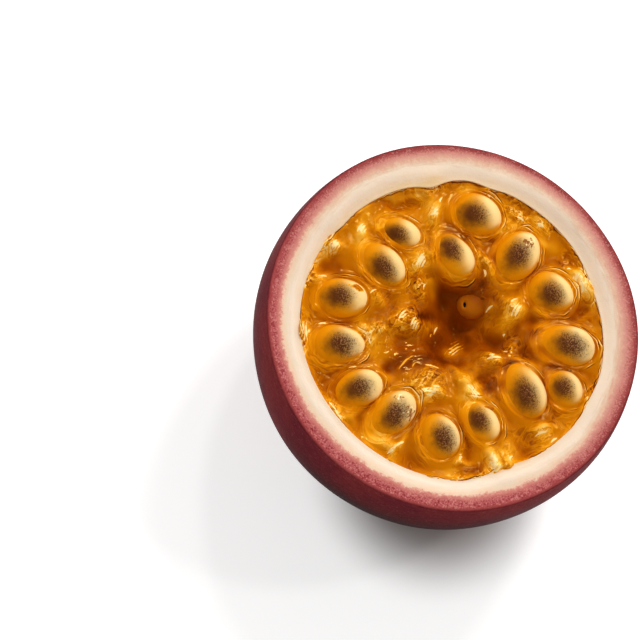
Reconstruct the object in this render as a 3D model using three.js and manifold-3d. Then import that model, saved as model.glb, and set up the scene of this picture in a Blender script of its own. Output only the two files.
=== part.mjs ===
// Passion fruit half, cut across its widest part and lying on its round back with the cut face up.
// Millimetres, +Z up. The origin is the centre of the small flat spot that the half rests on.
// Directions round the fruit are in degrees, counted from +X towards +Y.

import * as THREE from 'three';
import { mergeVertices } from 'three/addons/utils/BufferGeometryUtils.js';
import Module from 'manifold-3d';

const wasm = await Module();
wasm.setup();

// ---- The whole fruit, an egg-like round cut a little above its widest ring ----
const WIDEST_RADIUS = 25.65;
const CUT_ABOVE_WIDEST = 5.8;
const POLE_BELOW_WIDEST = 25.4;
const FOOT_RADIUS = 4.5;
const EDGE_ROUNDING = 0.6;

// ---- The wall: thin peel and thick pith in one piece ----
const WALL = 4.3;
const LIP_FLARE = 0.6;
const LIP_DEPTH = 0.9;

// ---- The filling of juice sacs and the seeds in it ----
const GAP = 0.3;
const PULP_DEPTH = 1.75;
const PULP_LEAST_DEPTH = 0.15;
const PULP_RIPPLE = 0.15;
const WALL_RISE = 1.0;
const WALL_RISE_WIDTH = 1.5;
const SEED_CENTRE_DEPTH = 1.95;
const SEED_FLATNESS = 0.84;
const SAC_RIM_HEIGHT = 0.75;
const SAC_RIM_REACH = 1.22;
const SAC_RIM_WIDTH = 0.17;

// ---- The hollow in the middle, wider along +X than along +Y ----
const HOLLOW = { x: 1.0, y: 1.6, alongX: 6.4, alongY: 5.2, depth: 7.2, floor: 0.55, brim: 1.1 };

// ---- How finely the surfaces are divided ----
const STEPS_ROUND = 60;
const PULP_STEPS = 42;
const SEED_STEPS_ROUND = 12;
const SEED_STEPS_ALONG = 8;

const FOOT_LIFT = POLE_BELOW_WIDEST * (1 - Math.sqrt(1 - (FOOT_RADIUS / WIDEST_RADIUS) ** 2));
const WIDEST_Z = POLE_BELOW_WIDEST - FOOT_LIFT;
const CUT_Z = WIDEST_Z + CUT_ABOVE_WIDEST;

// Each seed sits in its own sac: direction and distance of its centre from the axis, half length,
// half width, turn of its length from +X, and how much narrower its front end is.
const SEEDS = [
  { direction: 11, distance: 17.0, length: 2.75, width: 2.5, turn: -12, taper: 0.06 },
  { direction: 32, distance: 15.5, length: 4.1, width: 2.85, turn: 208, taper: 0.14 },
  { direction: 60, distance: 14.6, length: 3.25, width: 2.9, turn: 20, taper: 0.14 },
  { direction: 87, distance: 13.8, length: 3.85, width: 2.9, turn: 94, taper: 0.05 },
  { direction: 115, distance: 16.3, length: 3.4, width: 2.9, turn: 20, taper: 0.05 },
  { direction: 125, distance: 10.1, length: 3.35, width: 2.35, turn: 158, taper: 0.16 },
  { direction: 156, distance: 14.5, length: 3.0, width: 2.05, turn: 195, taper: 0.05 },
  { direction: 176, distance: 12.4, length: 3.5, width: 2.5, turn: 174, taper: 0.06 },
  { direction: 205, distance: 15.0, length: 3.45, width: 2.75, turn: 41, taper: 0.1 },
  { direction: 229, distance: 15.5, length: 3.6, width: 2.7, turn: 41, taper: 0.16 },
  { direction: 253, distance: 15.4, length: 3.5, width: 2.55, turn: 240, taper: 0.08 },
  { direction: 274, distance: 14.6, length: 3.95, width: 2.6, turn: 264, taper: 0.04 },
  { direction: 301, distance: 14.9, length: 3.2, width: 2.7, turn: 148, taper: 0.06 },
  { direction: 325, distance: 13.2, length: 3.05, width: 2.25, turn: 158, taper: 0.1 },
  { direction: 358, distance: 12.6, length: 4.05, width: 2.8, turn: 153, taper: 0.08 },
];

// One small sac without a ripe seed hangs on the wall of the hollow.
const HOLLOW_SAC = { direction: 88, distance: 5.6, length: 2.1, width: 1.9, turn: 41, taper: 0.0 };
const HOLLOW_SAC_DEPTH = 4.9;

// Burst and empty sacs stand up as lumps between the seeds; pools of juice lie lower.
const LUMPS = [
  { direction: 136, distance: 16.4, length: 2.2, width: 1.3, turn: 130, height: 1.3 },
  { direction: 184, distance: 18.6, length: 1.5, width: 1.1, turn: 95, height: 1.1 },
  { direction: 199, distance: 18.6, length: 1.6, width: 1.0, turn: 110, height: 1.0 },
  { direction: 152, distance: 10.0, length: 1.6, width: 1.1, turn: 60, height: 1.0 },
  { direction: 203, distance: 6.9, length: 2.9, width: 2.5, turn: 0, height: 1.8 },
  { direction: 166, distance: 6.8, length: 1.9, width: 1.4, turn: 100, height: 1.7 },
  { direction: 60, distance: 9.5, length: 2.2, width: 1.7, turn: 90, height: 1.9 },
  { direction: 98, distance: 17.7, length: 1.9, width: 0.9, turn: 10, height: 1.0 },
  { direction: 61, distance: 18.5, length: 2.3, width: 1.0, turn: -20, height: 1.1 },
  { direction: 288, distance: 8.6, length: 2.6, width: 2.1, turn: 20, height: 1.4 },
  { direction: 326, distance: 8.2, length: 3.6, width: 1.5, turn: -20, height: 1.5 },
  { direction: 348, distance: 17.9, length: 2.0, width: 1.0, turn: 60, height: 1.1 },
  { direction: 327, distance: 17.9, length: 2.2, width: 1.5, turn: 70, height: 1.5 },
  { direction: 282, distance: 18.3, length: 2.4, width: 0.9, turn: 10, height: 1.1 },
  { direction: 8, distance: 8.0, length: 1.6, width: 1.4, turn: 0, height: 1.2 },
  { direction: 146, distance: 18.0, length: 2.6, width: 1.2, turn: 55, height: -0.9 },
  { direction: 190, distance: 16.6, length: 2.0, width: 1.6, turn: 100, height: -0.9 },
  { direction: 76, distance: 17.4, length: 2.6, width: 1.4, turn: -10, height: -0.8 },
  { direction: 45, distance: 17.4, length: 1.8, width: 1.3, turn: -45, height: -0.8 },
  { direction: 340, distance: 9.6, length: 2.0, width: 1.4, turn: 70, height: -0.9 },
  { direction: 340, distance: 17.6, length: 1.8, width: 1.2, turn: 70, height: -0.8 },
  { direction: 300, distance: 18.4, length: 2.0, width: 1.0, turn: 30, height: -0.7 },
];

// The pith's inner edge bulges in (+) between the sacs and out (-) where sacs press on it.
const LIP_WAVES = [
  { direction: 12, halfAngle: 22, inwards: -0.25 },
  { direction: 56, halfAngle: 14, inwards: 0.25 },
  { direction: 118, halfAngle: 12, inwards: -0.3 },
  { direction: 138, halfAngle: 10, inwards: 0.35 },
  { direction: 308, halfAngle: 10, inwards: -0.25 },
  { direction: 330, halfAngle: 9, inwards: 0.45 },
];

// ---- Small helpers ----

const radians = THREE.MathUtils.degToRad;
const bell = (t) => Math.exp(-t * t);

function smoothStep(from, to, value) {
  return THREE.MathUtils.smoothstep(value, from, to);
}

function centreOf(piece) {
  const angle = radians(piece.direction);
  return { x: piece.distance * Math.cos(angle), y: piece.distance * Math.sin(angle) };
}

// Place of (x, y) in a piece's own measure: 1 on its outline, less inside it.
function reachIn(piece, x, y) {
  const centre = centreOf(piece);
  const angle = radians(piece.turn);
  const along = ((x - centre.x) * Math.cos(angle) + (y - centre.y) * Math.sin(angle)) / piece.length;
  const across = ((y - centre.y) * Math.cos(angle) - (x - centre.x) * Math.sin(angle)) / piece.width;
  return Math.hypot(along, across);
}

// Radius of an ellipse-like round at a height above its widest ring.
function roundRadius(widest, semiHeight, above) {
  return widest * Math.sqrt(Math.max(0, 1 - (above / semiHeight) ** 2));
}

function outerWave(angle) {
  return 1 + 0.003 * Math.cos(2 * angle + 0.6) + 0.0022 * Math.sin(3 * angle - 0.4)
    + 0.0012 * Math.sin(7 * angle + 2.0);
}

function innerWave(angle) {
  let inwards = 0;
  for (const wave of LIP_WAVES) {
    const away = Math.abs(THREE.MathUtils.euclideanModulo(
      THREE.MathUtils.radToDeg(angle) - wave.direction + 180, 360) - 180);
    inwards += wave.inwards * bell(away / wave.halfAngle);
  }
  return 1 - inwards / (WIDEST_RADIUS - WALL) + 0.004 * Math.sin(5 * angle + 1.0);
}

// ---- Solids ----

function solidFrom(geometry) {
  geometry.deleteAttribute('normal');
  geometry.deleteAttribute('uv');
  const merged = mergeVertices(geometry, 1e-4);
  return new wasm.Manifold(new wasm.Mesh({
    numProp: 3,
    vertProperties: new Float32Array(merged.attributes.position.array),
    triVerts: new Uint32Array(merged.index.array),
  }));
}

function geometryFrom(solid) {
  const mesh = solid.getMesh();
  const geometry = new THREE.BufferGeometry();
  geometry.setAttribute('position', new THREE.BufferAttribute(mesh.vertProperties, 3));
  geometry.setIndex(new THREE.BufferAttribute(mesh.triVerts, 1));
  geometry.computeVertexNormals();
  return geometry;
}

// Turns a profile of [radius, height] points round +Z, its radius swelling with the direction.
function turned(profile, wave) {
  const points = profile.map(([radius, height]) => new THREE.Vector2(radius, height));
  const geometry = new THREE.LatheGeometry(points, STEPS_ROUND);
  geometry.rotateX(Math.PI / 2);
  const position = geometry.attributes.position;
  for (let i = 0; i < position.count; i += 1) {
    const swell = wave(Math.atan2(position.getY(i), position.getX(i)));
    position.setX(i, position.getX(i) * swell);
    position.setY(i, position.getY(i) * swell);
  }
  return solidFrom(geometry);
}

function fruitBody() {
  const arcSteps = 13;
  const footAngle = Math.asin(FOOT_RADIUS / WIDEST_RADIUS);
  const edgeAngle = Math.PI - Math.acos((CUT_ABOVE_WIDEST - EDGE_ROUNDING) / POLE_BELOW_WIDEST);
  const profile = [[0, 0]];
  for (let i = 0; i <= arcSteps; i += 1) {
    const angle = THREE.MathUtils.lerp(footAngle, edgeAngle, i / arcSteps);
    profile.push([WIDEST_RADIUS * Math.sin(angle), WIDEST_Z - POLE_BELOW_WIDEST * Math.cos(angle)]);
  }
  const edgeRadius = profile.at(-1)[0] - EDGE_ROUNDING;
  for (let i = 1; i <= 3; i += 1) {
    const angle = radians(30 * i);
    const radius = edgeRadius + EDGE_ROUNDING * Math.cos(angle);
    profile.push([radius, CUT_Z - EDGE_ROUNDING + EDGE_ROUNDING * Math.sin(angle)]);
  }
  profile.push([0, CUT_Z]);
  return turned(profile, outerWave);
}

// The space inside the wall, made smaller all round by a clearance and open past the cut.
function cavity(clearance) {
  const arcSteps = 8;
  const widest = WIDEST_RADIUS - WALL - clearance;
  const semiHeight = POLE_BELOW_WIDEST - WALL - clearance;
  const lipAngle = Math.PI - Math.acos((CUT_ABOVE_WIDEST - LIP_DEPTH) / semiHeight);
  const profile = [[0, WIDEST_Z - semiHeight]];
  for (let i = 1; i <= arcSteps; i += 1) {
    const angle = lipAngle * i / arcSteps;
    profile.push([widest * Math.sin(angle), WIDEST_Z - semiHeight * Math.cos(angle)]);
  }
  const lipRadius = profile.at(-1)[0];
  profile.push([lipRadius + LIP_FLARE * 0.25, CUT_Z - LIP_DEPTH * 0.5]);
  profile.push([lipRadius + LIP_FLARE, CUT_Z]);
  profile.push([lipRadius + LIP_FLARE, CUT_Z + WALL]);
  profile.push([0, CUT_Z + WALL]);
  return turned(profile, innerWave);
}

// How far the filling's surface lies under the cut at a place: it climbs a little to the wall,
// sinks into the hollow, and stands up in lumps and in a rim round each seed.
function pulpDepth(x, y) {
  const fromAxis = Math.hypot(x, y);
  const wallRadius = roundRadius(WIDEST_RADIUS - WALL, POLE_BELOW_WIDEST - WALL, CUT_ABOVE_WIDEST);
  const hollowReach = Math.hypot((x - HOLLOW.x) / HOLLOW.alongX, (y - HOLLOW.y) / HOLLOW.alongY);
  let depth = PULP_DEPTH - WALL_RISE * bell((wallRadius - fromAxis) / WALL_RISE_WIDTH);
  depth += HOLLOW.depth * (1 - smoothStep(HOLLOW.floor, HOLLOW.brim, hollowReach));
  depth += PULP_RIPPLE * Math.sin(1.1 * x + 0.5) * Math.sin(0.9 * y + 1.3);
  for (const lump of LUMPS) depth -= lump.height * bell(reachIn(lump, x, y));
  for (const seed of SEEDS) {
    depth -= SAC_RIM_HEIGHT * bell((reachIn(seed, x, y) - SAC_RIM_REACH) / SAC_RIM_WIDTH);
  }
  return Math.max(depth, PULP_LEAST_DEPTH);
}

// An egg shape lying flat with its narrower end forwards, grown all round by a clearance.
function egg(seed, centreDepth, clearance) {
  const geometry = new THREE.SphereGeometry(1, SEED_STEPS_ROUND, SEED_STEPS_ALONG);
  geometry.rotateZ(-Math.PI / 2);
  const position = geometry.attributes.position;
  for (let i = 0; i < position.count; i += 1) {
    const along = position.getX(i);
    const narrowed = 1 - seed.taper * along;
    position.setX(i, along * (seed.length + clearance));
    position.setY(i, position.getY(i) * narrowed * (seed.width + clearance));
    position.setZ(i, position.getZ(i) * narrowed * (seed.width * SEED_FLATNESS + clearance));
  }
  const centre = centreOf(seed);
  geometry.rotateZ(radians(seed.turn));
  geometry.translate(centre.x, centre.y, CUT_Z - centreDepth);
  return geometry;
}

function shellGeometry() {
  return geometryFrom(fruitBody().subtract(cavity(0)));
}

// A block with the uneven surface on top, trimmed to the cavity and emptied where the seeds lie.
function pulpGeometry() {
  const side = 2 * (WIDEST_RADIUS - WALL) + 2;
  const block = new THREE.BoxGeometry(side, side, CUT_Z, PULP_STEPS, PULP_STEPS, 1);
  block.translate(0, 0, CUT_Z / 2);
  const position = block.attributes.position;
  for (let i = 0; i < position.count; i += 1) {
    if (position.getZ(i) > CUT_Z / 2) {
      position.setZ(i, CUT_Z - pulpDepth(position.getX(i), position.getY(i)));
    }
  }
  let pulp = solidFrom(block).intersect(cavity(GAP));
  for (const seed of SEEDS) pulp = pulp.subtract(solidFrom(egg(seed, SEED_CENTRE_DEPTH, GAP)));
  pulp = pulp.subtract(solidFrom(egg(HOLLOW_SAC, HOLLOW_SAC_DEPTH, GAP)));
  return geometryFrom(pulp);
}

// ---- The half, assembled ----

const peelAndPith = new THREE.MeshStandardMaterial({ color: 0x7a2c36, roughness: 0.5, metalness: 0 });
const juice = new THREE.MeshStandardMaterial({ color: 0xd98a10, roughness: 0.15, metalness: 0 });
const seedCoat = new THREE.MeshStandardMaterial({ color: 0xd9a860, roughness: 0.3, metalness: 0 });
const sacSkin = new THREE.MeshStandardMaterial({ color: 0xb45a08, roughness: 0.2, metalness: 0 });

const half = new THREE.Group();

function add(name, geometry, material) {
  const mesh = new THREE.Mesh(geometry, material);
  mesh.name = name;
  half.add(mesh);
}

add('shell', shellGeometry(), peelAndPith);
add('pulp', pulpGeometry(), juice);
SEEDS.forEach((seed, index) => {
  const number = String(index + 1).padStart(2, '0');
  add(`seed_${number}`, geometryFrom(solidFrom(egg(seed, SEED_CENTRE_DEPTH, 0))), seedCoat);
});
add('hollow_sac', geometryFrom(solidFrom(egg(HOLLOW_SAC, HOLLOW_SAC_DEPTH, 0))), sacSkin);

export default half;
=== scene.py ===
# %% [markdown]
# # A passion fruit half, dressed for its picture
# The half is a bowl of peel and pith, cut straight across, full of juice sacs. Every sac holds one
# seed. The solids of the half come in as a fixed frame, and each cell below makes the fine surface
# of one of them. All shapes are worked out in millimetres, and written to Blender in metres.

# %% Tools and the frame
import math
from collections import namedtuple

import bpy
import numpy as np
from mathutils import Matrix, Vector


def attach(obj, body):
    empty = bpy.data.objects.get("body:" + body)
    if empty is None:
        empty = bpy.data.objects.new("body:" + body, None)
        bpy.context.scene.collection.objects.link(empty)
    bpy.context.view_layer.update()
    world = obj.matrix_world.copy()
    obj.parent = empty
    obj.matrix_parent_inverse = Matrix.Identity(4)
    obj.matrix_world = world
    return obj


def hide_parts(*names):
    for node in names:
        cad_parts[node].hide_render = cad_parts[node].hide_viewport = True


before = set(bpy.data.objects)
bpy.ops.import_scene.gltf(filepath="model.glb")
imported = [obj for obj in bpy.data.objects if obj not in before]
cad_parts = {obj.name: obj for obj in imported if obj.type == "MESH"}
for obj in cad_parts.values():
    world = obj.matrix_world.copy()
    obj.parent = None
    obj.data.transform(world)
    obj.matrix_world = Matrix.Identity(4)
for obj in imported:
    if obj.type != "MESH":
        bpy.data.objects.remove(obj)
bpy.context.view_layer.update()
MM = 0.001

# %% [markdown]
# The sizes of the half come first. The outline is part of an ellipse turned round the vertical axis.
# It is cut a little above its widest ring, so that the peel closes in slightly towards the rim.

# %% Sizes of the fruit
WIDEST_RADIUS = 25.65
CUT_ABOVE_WIDEST = 5.8
POLE_BELOW_WIDEST = 25.4
FOOT_RADIUS = 4.5
WALL = 4.3
FOOT_LIFT = POLE_BELOW_WIDEST * (1 - math.sqrt(1 - (FOOT_RADIUS / WIDEST_RADIUS) ** 2))
WIDEST_Z = POLE_BELOW_WIDEST - FOOT_LIFT
CUT_Z = WIDEST_Z + CUT_ABOVE_WIDEST
INNER_WIDEST = WIDEST_RADIUS - WALL
INNER_SEMI_HEIGHT = POLE_BELOW_WIDEST - WALL
print("cut face at", round(CUT_Z, 2), "mm")

# %% [markdown]
# Nothing on a fruit is quite even. Two kinds of unevenness are used: slow waves round the axis, and
# value noise, which blends random numbers on a lattice. Stretching or folding its input gives the
# fine wrinkles of wet membranes later on. Blender's own noise textures could displace a mesh too,
# but then no other formula could read the height. Here each height is a plain array.

# %% Unevenness
LATTICE = 128
NOISE_SHIFT = (41.3, 67.9)


def bell(t):
    """A smooth hump: 1 at zero, falling off as e to the minus t squared."""
    return np.exp(-np.square(t))


def smooth_step(low, high, value):
    """0 below low, 1 above high, and a cubic S between them."""
    t = np.clip((value - low) / (high - low), 0, 1)
    return t * t * (3 - 2 * t)


def value_noise(x, y, cell, seed):
    """Random heights from -1 to 1 on a square lattice, blended with cubic S curves in between."""
    lattice = np.random.default_rng(seed).uniform(-1, 1, (LATTICE, LATTICE))
    u, v = np.asarray(x) / cell + NOISE_SHIFT[0], np.asarray(y) / cell + NOISE_SHIFT[1]
    i, j = np.floor(u).astype(int), np.floor(v).astype(int)
    s, t = smooth_step(0, 1, u - i), smooth_step(0, 1, v - j)
    i0, j0, i1, j1 = i % LATTICE, j % LATTICE, (i + 1) % LATTICE, (j + 1) % LATTICE
    near = lattice[i0, j0] * (1 - s) + lattice[i1, j0] * s
    far = lattice[i0, j1] * (1 - s) + lattice[i1, j1] * s
    return near * (1 - t) + far * t


def layered_noise(x, y, cell, seed, layers=3):
    """Value noise summed over ever finer cells, each layer with half the height of the last."""
    total = sum(value_noise(x, y, cell / 2 ** k, seed + k) / 2 ** k for k in range(layers))
    return total / (2 - 2 ** (1 - layers))


def outer_wave(angle):
    """How much the outer radius swells with the direction, as a factor near 1."""
    return (1 + 0.003 * np.cos(2 * angle + 0.6) + 0.0022 * np.sin(3 * angle - 0.4)
            + 0.0012 * np.sin(7 * angle + 2.0))


ALL_ROUND = np.radians(np.arange(360))
print("outer radius varies by", round(WIDEST_RADIUS * np.ptp(outer_wave(ALL_ROUND)), 2), "mm")

# %% [markdown]
# Sacs press on the pith from inside, so its inner edge is a wavy line. Each wave has a direction
# round the axis and a half width, both in degrees, and a height towards the axis in millimetres.

# %% The wavy inner edge
LIP_WAVES = [
    (12, 22, -0.25), (11, 8, 0.35), (56, 14, 0.25), (88, 20, 0.15), (113, 6, 0.4), (118, 12, -0.3),
    (136, 5, 0.5), (138, 10, 0.35), (155, 30, 0.65), (176, 5, 0.25), (308, 10, -0.25), (325, 4, 0.35),
    (330, 9, 0.45), (352, 10, 0.15),
]


def wave_round(degrees, waves):
    """A sum of bells round the axis, each with its direction, half width and height."""
    total = 0
    for direction, half_angle, height in waves:
        away = np.abs((degrees - direction + 180) % 360 - 180)
        total = total + height * bell(away / half_angle)
    return total


def inner_wave(angle):
    """How much the inner radius swells with the direction: broad bells and a slow five-fold wave."""
    inwards = wave_round(np.degrees(angle), LIP_WAVES)
    return 0.993 - inwards / INNER_WIDEST + 0.004 * np.sin(5 * angle + 1.0)


def inner_radius(angle, depth):
    """Radius of the wall's inner face at a depth below the cut: its ellipse times the wave."""
    above = (CUT_ABOVE_WIDEST - depth) / INNER_SEMI_HEIGHT
    return INNER_WIDEST * np.sqrt(np.maximum(0, 1 - above ** 2)) * inner_wave(angle)


inner_edge = inner_radius(ALL_ROUND, 0)
print("inner edge radius from", inner_edge.min().round(2), "to", inner_edge.max().round(2), "mm")

# %% [markdown]
# A surface is a grid of points. This helper turns such a grid into a mesh with numpy: it can wrap
# round in its second direction, close its first and last row to a pole, and carry named values for
# each point, which the materials read.

# %% From grids to meshes
def grid_faces(rows, columns, wrap):
    """Quads of a grid with rows along its first direction, wound so that u to v turns outwards."""
    across = columns if wrap else columns - 1
    i, j = np.meshgrid(np.arange(rows - 1), np.arange(across), indexing="ij")
    k = (j + 1) % columns
    return np.stack([i * columns + j, i * columns + k, (i + 1) * columns + k, (i + 1) * columns + j],
                    axis=-1).reshape(-1, 4)


def fan_faces(ring, pole, outwards):
    """Triangles from a ring of point numbers to one pole point."""
    after = np.roll(ring, -1)
    hub = np.full(len(ring), pole)
    order = [hub, after, ring] if outwards else [hub, ring, after]
    return np.stack(order, axis=-1)


def make_object(name, points, faces, values=None):
    """A smooth mesh object from points in millimetres and a list of face arrays."""
    mesh = bpy.data.meshes.new(name)
    loops = np.concatenate([f.ravel() for f in faces]).astype(np.int32)
    sizes = np.concatenate([np.full(len(f), f.shape[1]) for f in faces]).astype(np.int32)
    starts = np.concatenate([[0], np.cumsum(sizes)[:-1]]).astype(np.int32)
    mesh.vertices.add(len(points))
    mesh.vertices.foreach_set("co", (points * MM).astype(np.float32).ravel())
    mesh.loops.add(len(loops))
    mesh.loops.foreach_set("vertex_index", loops)
    mesh.polygons.add(len(sizes))
    mesh.polygons.foreach_set("loop_start", starts)
    mesh.polygons.foreach_set("use_smooth", np.ones(len(sizes), bool))
    for key, value in (values or {}).items():
        layer = mesh.attributes.new(key, "FLOAT", "POINT")
        layer.data.foreach_set("value", np.asarray(value, np.float32).ravel())
    mesh.update(calc_edges=True)
    mesh.validate()
    piece = bpy.data.objects.new(name, mesh)
    bpy.context.collection.objects.link(piece)
    print(name, len(points), "points,", int((sizes - 2).sum()), "triangles")
    return piece


def belongs(piece, slot, *nodes):
    """The piece rides on the half and stands for its solids, which are hidden. Its slot is not used."""
    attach(piece, "root")
    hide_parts(*nodes)


# %% [markdown]
# Materials are sums written in Python. `Flow` wraps one socket, and arithmetic on it adds Math
# nodes. Its `node` method adds any other node: settings first, then values or links. Colours are
# given as they look on a screen, because that is how a maker picks them, and turned into the linear
# light that shaders use.

# %% Shader arithmetic
BLACK, WHITE = (0.0, 0.0, 0.0, 1.0), (1.0, 1.0, 1.0, 1.0)


def linear(red, green, blue):
    """A screen colour, 0 to 255 each, in linear light: nearly its 2.4th power."""
    screen = np.array([red, green, blue]) / 255
    light = np.where(screen <= 0.04045, screen / 12.92, ((screen + 0.055) / 1.055) ** 2.4)
    return (*light.tolist(), 1.0)


class Flow:
    """One socket in a material's tree. Sums, products and powers of flows add Math nodes."""

    def __init__(self, tree, socket=None):
        self.tree = tree
        self.socket = socket

    def node(self, kind, settings=None, inputs=None, output=0):
        """Adds a node of this kind, sets it up, fills its sockets and returns one output."""
        node = self.tree.nodes.new(kind)
        for key, value in (settings or {}).items():
            if key == "stops":
                self.set_stops(node.color_ramp, value)
            else:
                setattr(node, key, value)
        for key, value in (inputs or {}).items():
            if isinstance(value, Flow):
                self.tree.links.new(value.socket, node.inputs[key])
            else:
                node.inputs[key].default_value = value
        return Flow(self.tree, node.outputs[output] if node.outputs else None)

    @staticmethod
    def set_stops(ramp, stops):
        """Gives a colour ramp its stops, each a place from 0 to 1 and a colour."""
        ramp.elements.remove(ramp.elements[1])
        ramp.elements[0].position, ramp.elements[0].color = stops[0]
        for place, colour in stops[1:]:
            ramp.elements.new(place).color = colour

    def math(self, operation, *others):
        """A Math node with this flow as its first value."""
        return self.node("ShaderNodeMath", {"operation": operation}, dict(enumerate((self, *others))))

    def __add__(self, other):
        return self.math("ADD", other)

    def __sub__(self, other):
        return self.math("SUBTRACT", other)

    def __rsub__(self, other):
        return self.math("MULTIPLY_ADD", -1.0, other)

    def __mul__(self, other):
        return self.math("MULTIPLY", other)

    def __truediv__(self, other):
        return self.math("DIVIDE", other)

    def __pow__(self, other):
        return self.math("POWER", other)

    __radd__ = __add__
    __rmul__ = __mul__

    def ramp(self, *stops):
        """The colour at this flow's place along a row of stops: place, then red, green and blue."""
        colours = [(place, linear(*colour)) for place, *colour in stops]
        return self.node("ShaderNodeValToRGB", {"stops": colours}, {"Fac": self})

    def rising(self, low, high):
        """0 where this flow is below low, 1 above high, and a smooth S between them."""
        return self.node("ShaderNodeMapRange", {"interpolation_type": "SMOOTHSTEP"},
                         {"Value": self, "From Min": low, "From Max": high})

    def blend(self, first, second):
        """The first colour where this flow is 0, the second where it is 1."""
        return self.node("ShaderNodeMix", {"data_type": "RGBA"}, {0: self, 6: first, 7: second}, 2)

    def noise(self, scale, detail=2.0, roughness=0.5, stretch=None, turn=0.0):
        """Noise from 0 to 1 on the object's own coordinates, scale in features per metre."""
        place = self.node("ShaderNodeTexCoord", output=3)
        if stretch:
            place = self.node("ShaderNodeMapping", inputs={
                "Vector": place, "Rotation": (0.0, 0.0, turn), "Scale": stretch})
        return self.node("ShaderNodeTexNoise", inputs={
            "Vector": place, "Scale": scale, "Detail": detail, "Roughness": roughness})

    def noise_at(self, x, y, z, detail):
        """Noise from 0 to 1 at a place made of three flows, so that its grain can follow an edge."""
        place = self.node("ShaderNodeCombineXYZ", inputs={"X": x, "Y": y, "Z": z})
        return self.node("ShaderNodeTexNoise", inputs={"Vector": place, "Scale": 1.0, "Detail": detail})

    def value(self, name):
        """A named value that the mesh carries for each point."""
        return self.node("ShaderNodeAttribute", {"attribute_name": name}, output=2)

    def principled(self, **values):
        """A Principled shader. Its sockets are named with underscores here, such as Base_Color."""
        return self.node("ShaderNodeBsdfPrincipled", inputs={
            key.replace("_", " "): value for key, value in values.items()})


def new_finish(name):
    """An empty material, with a Flow to start its sums from."""
    material = bpy.data.materials.new(name)
    material.use_nodes = True
    material.node_tree.nodes.clear()
    return material, Flow(material.node_tree)


def close_finish(material, shader):
    """Ends a material with its shader."""
    shader.node("ShaderNodeOutputMaterial", inputs={"Surface": shader})
    print("finish", material.name, "has", len(material.node_tree.nodes), "nodes")
    return material


# %% [markdown]
# ## Peel and pith
# The wall is one closed surface, made as a profile carried round the axis. The profile runs from
# the middle of the foot up the peel, over the rounded edge, across the cut, down the lip, and along
# the inner face to the bottom of the bowl. The knife leaves the pith a little dished towards the
# lip. A Screw modifier could turn a plain profile, but here the inner edge is wavy and every point
# has to know how far in from the peel it lies, so the grid is worked out in full.

# %% The wall's rows
EDGE_ROUNDING = 0.55
LIP_DROP = 0.7
LIP_WIDTH = 2.6
CUT_RELIEF = 0.05
# The surface keeps just inside the solid: this far below its cut, and at this share of its radius.
CUT_SINK = 0.05
SNUG = 0.9985
# Radii of the rings under the foot, as shares of the foot's own.
FOOT_RINGS = (0.35, 0.7)
# How far in the bowl's floor counts as, for the finish, and how near its middle the last row stops.
BOWL_SPAN = 10
LAST_ROW_ANGLE = 0.02
PEEL_ROWS, EDGE_ROWS, CUT_ROWS, BOWL_ROWS = 64, 8, 34, 22
WALL_STEPS_ROUND = 640


def peel_rows(angle):
    """The outside: rings of the foot, an arc of the ellipse, and a quarter circle at the edge.

    Each row is its radius times the outer wave. The rows come as radius, height and how far in."""
    foot = math.asin(FOOT_RADIUS / WIDEST_RADIUS)
    edge = math.pi - math.acos((CUT_ABOVE_WIDEST - EDGE_ROUNDING) / POLE_BELOW_WIDEST)
    arc = np.linspace(foot, edge, PEEL_ROWS)
    peel_r, peel_z = WIDEST_RADIUS * np.sin(arc), WIDEST_Z - POLE_BELOW_WIDEST * np.cos(arc)
    turn = np.radians(np.linspace(90 / EDGE_ROWS, 90, EDGE_ROWS))
    edge_r = peel_r[-1] - EDGE_ROUNDING + EDGE_ROUNDING * np.cos(turn)
    edge_z = CUT_Z - EDGE_ROUNDING + EDGE_ROUNDING * np.sin(turn)
    rings = FOOT_RADIUS * np.array(FOOT_RINGS)
    radius = np.concatenate([rings, peel_r, edge_r])[:, None] * (outer_wave(angle) * SNUG)
    height = np.concatenate([0 * rings, peel_z, edge_z])[:, None] + 0 * angle
    inwards = np.concatenate([0 * rings, 0 * peel_r, peel_r[-1] - edge_r])[:, None] + 0 * angle
    return radius, height, inwards


def cut_rows(angle, rim):
    """The cut: even steps from rim to lip. It dips by an S curve near the lip, and noise roughens it."""
    lip = inner_radius(angle, 0)
    share = np.linspace(0, 1, CUT_ROWS)[1:, None]
    radius = rim * (1 - share) + lip * share
    dish = LIP_DROP * smooth_step(LIP_WIDTH, 0, radius - lip) ** 1.5
    relief = CUT_RELIEF * layered_noise(radius * np.cos(angle), radius * np.sin(angle), cell=2.2, seed=5)
    height = CUT_Z - CUT_SINK - dish * (1 - 0.35 * np.sin(angle * 3 + 1)) + relief
    return radius, height, rim + EDGE_ROUNDING - radius


def bowl_rows(angle, lip_depth):
    """The inner face: an arc of the inner ellipse, which starts lower where the lip dips."""
    down = np.linspace(0, 1, BOWL_ROWS)[1:, None]
    lip_angle = np.pi - np.arccos(CUT_ABOVE_WIDEST / INNER_SEMI_HEIGHT)
    descent = lip_angle * (1 - down) + LAST_ROW_ANGLE * down
    radius = INNER_WIDEST * np.sin(descent) * inner_wave(angle)
    height = WIDEST_Z - INNER_SEMI_HEIGHT * np.cos(descent) - lip_depth * (1 - down) ** 3
    return radius, height, lip_depth + down * BOWL_SPAN


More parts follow.
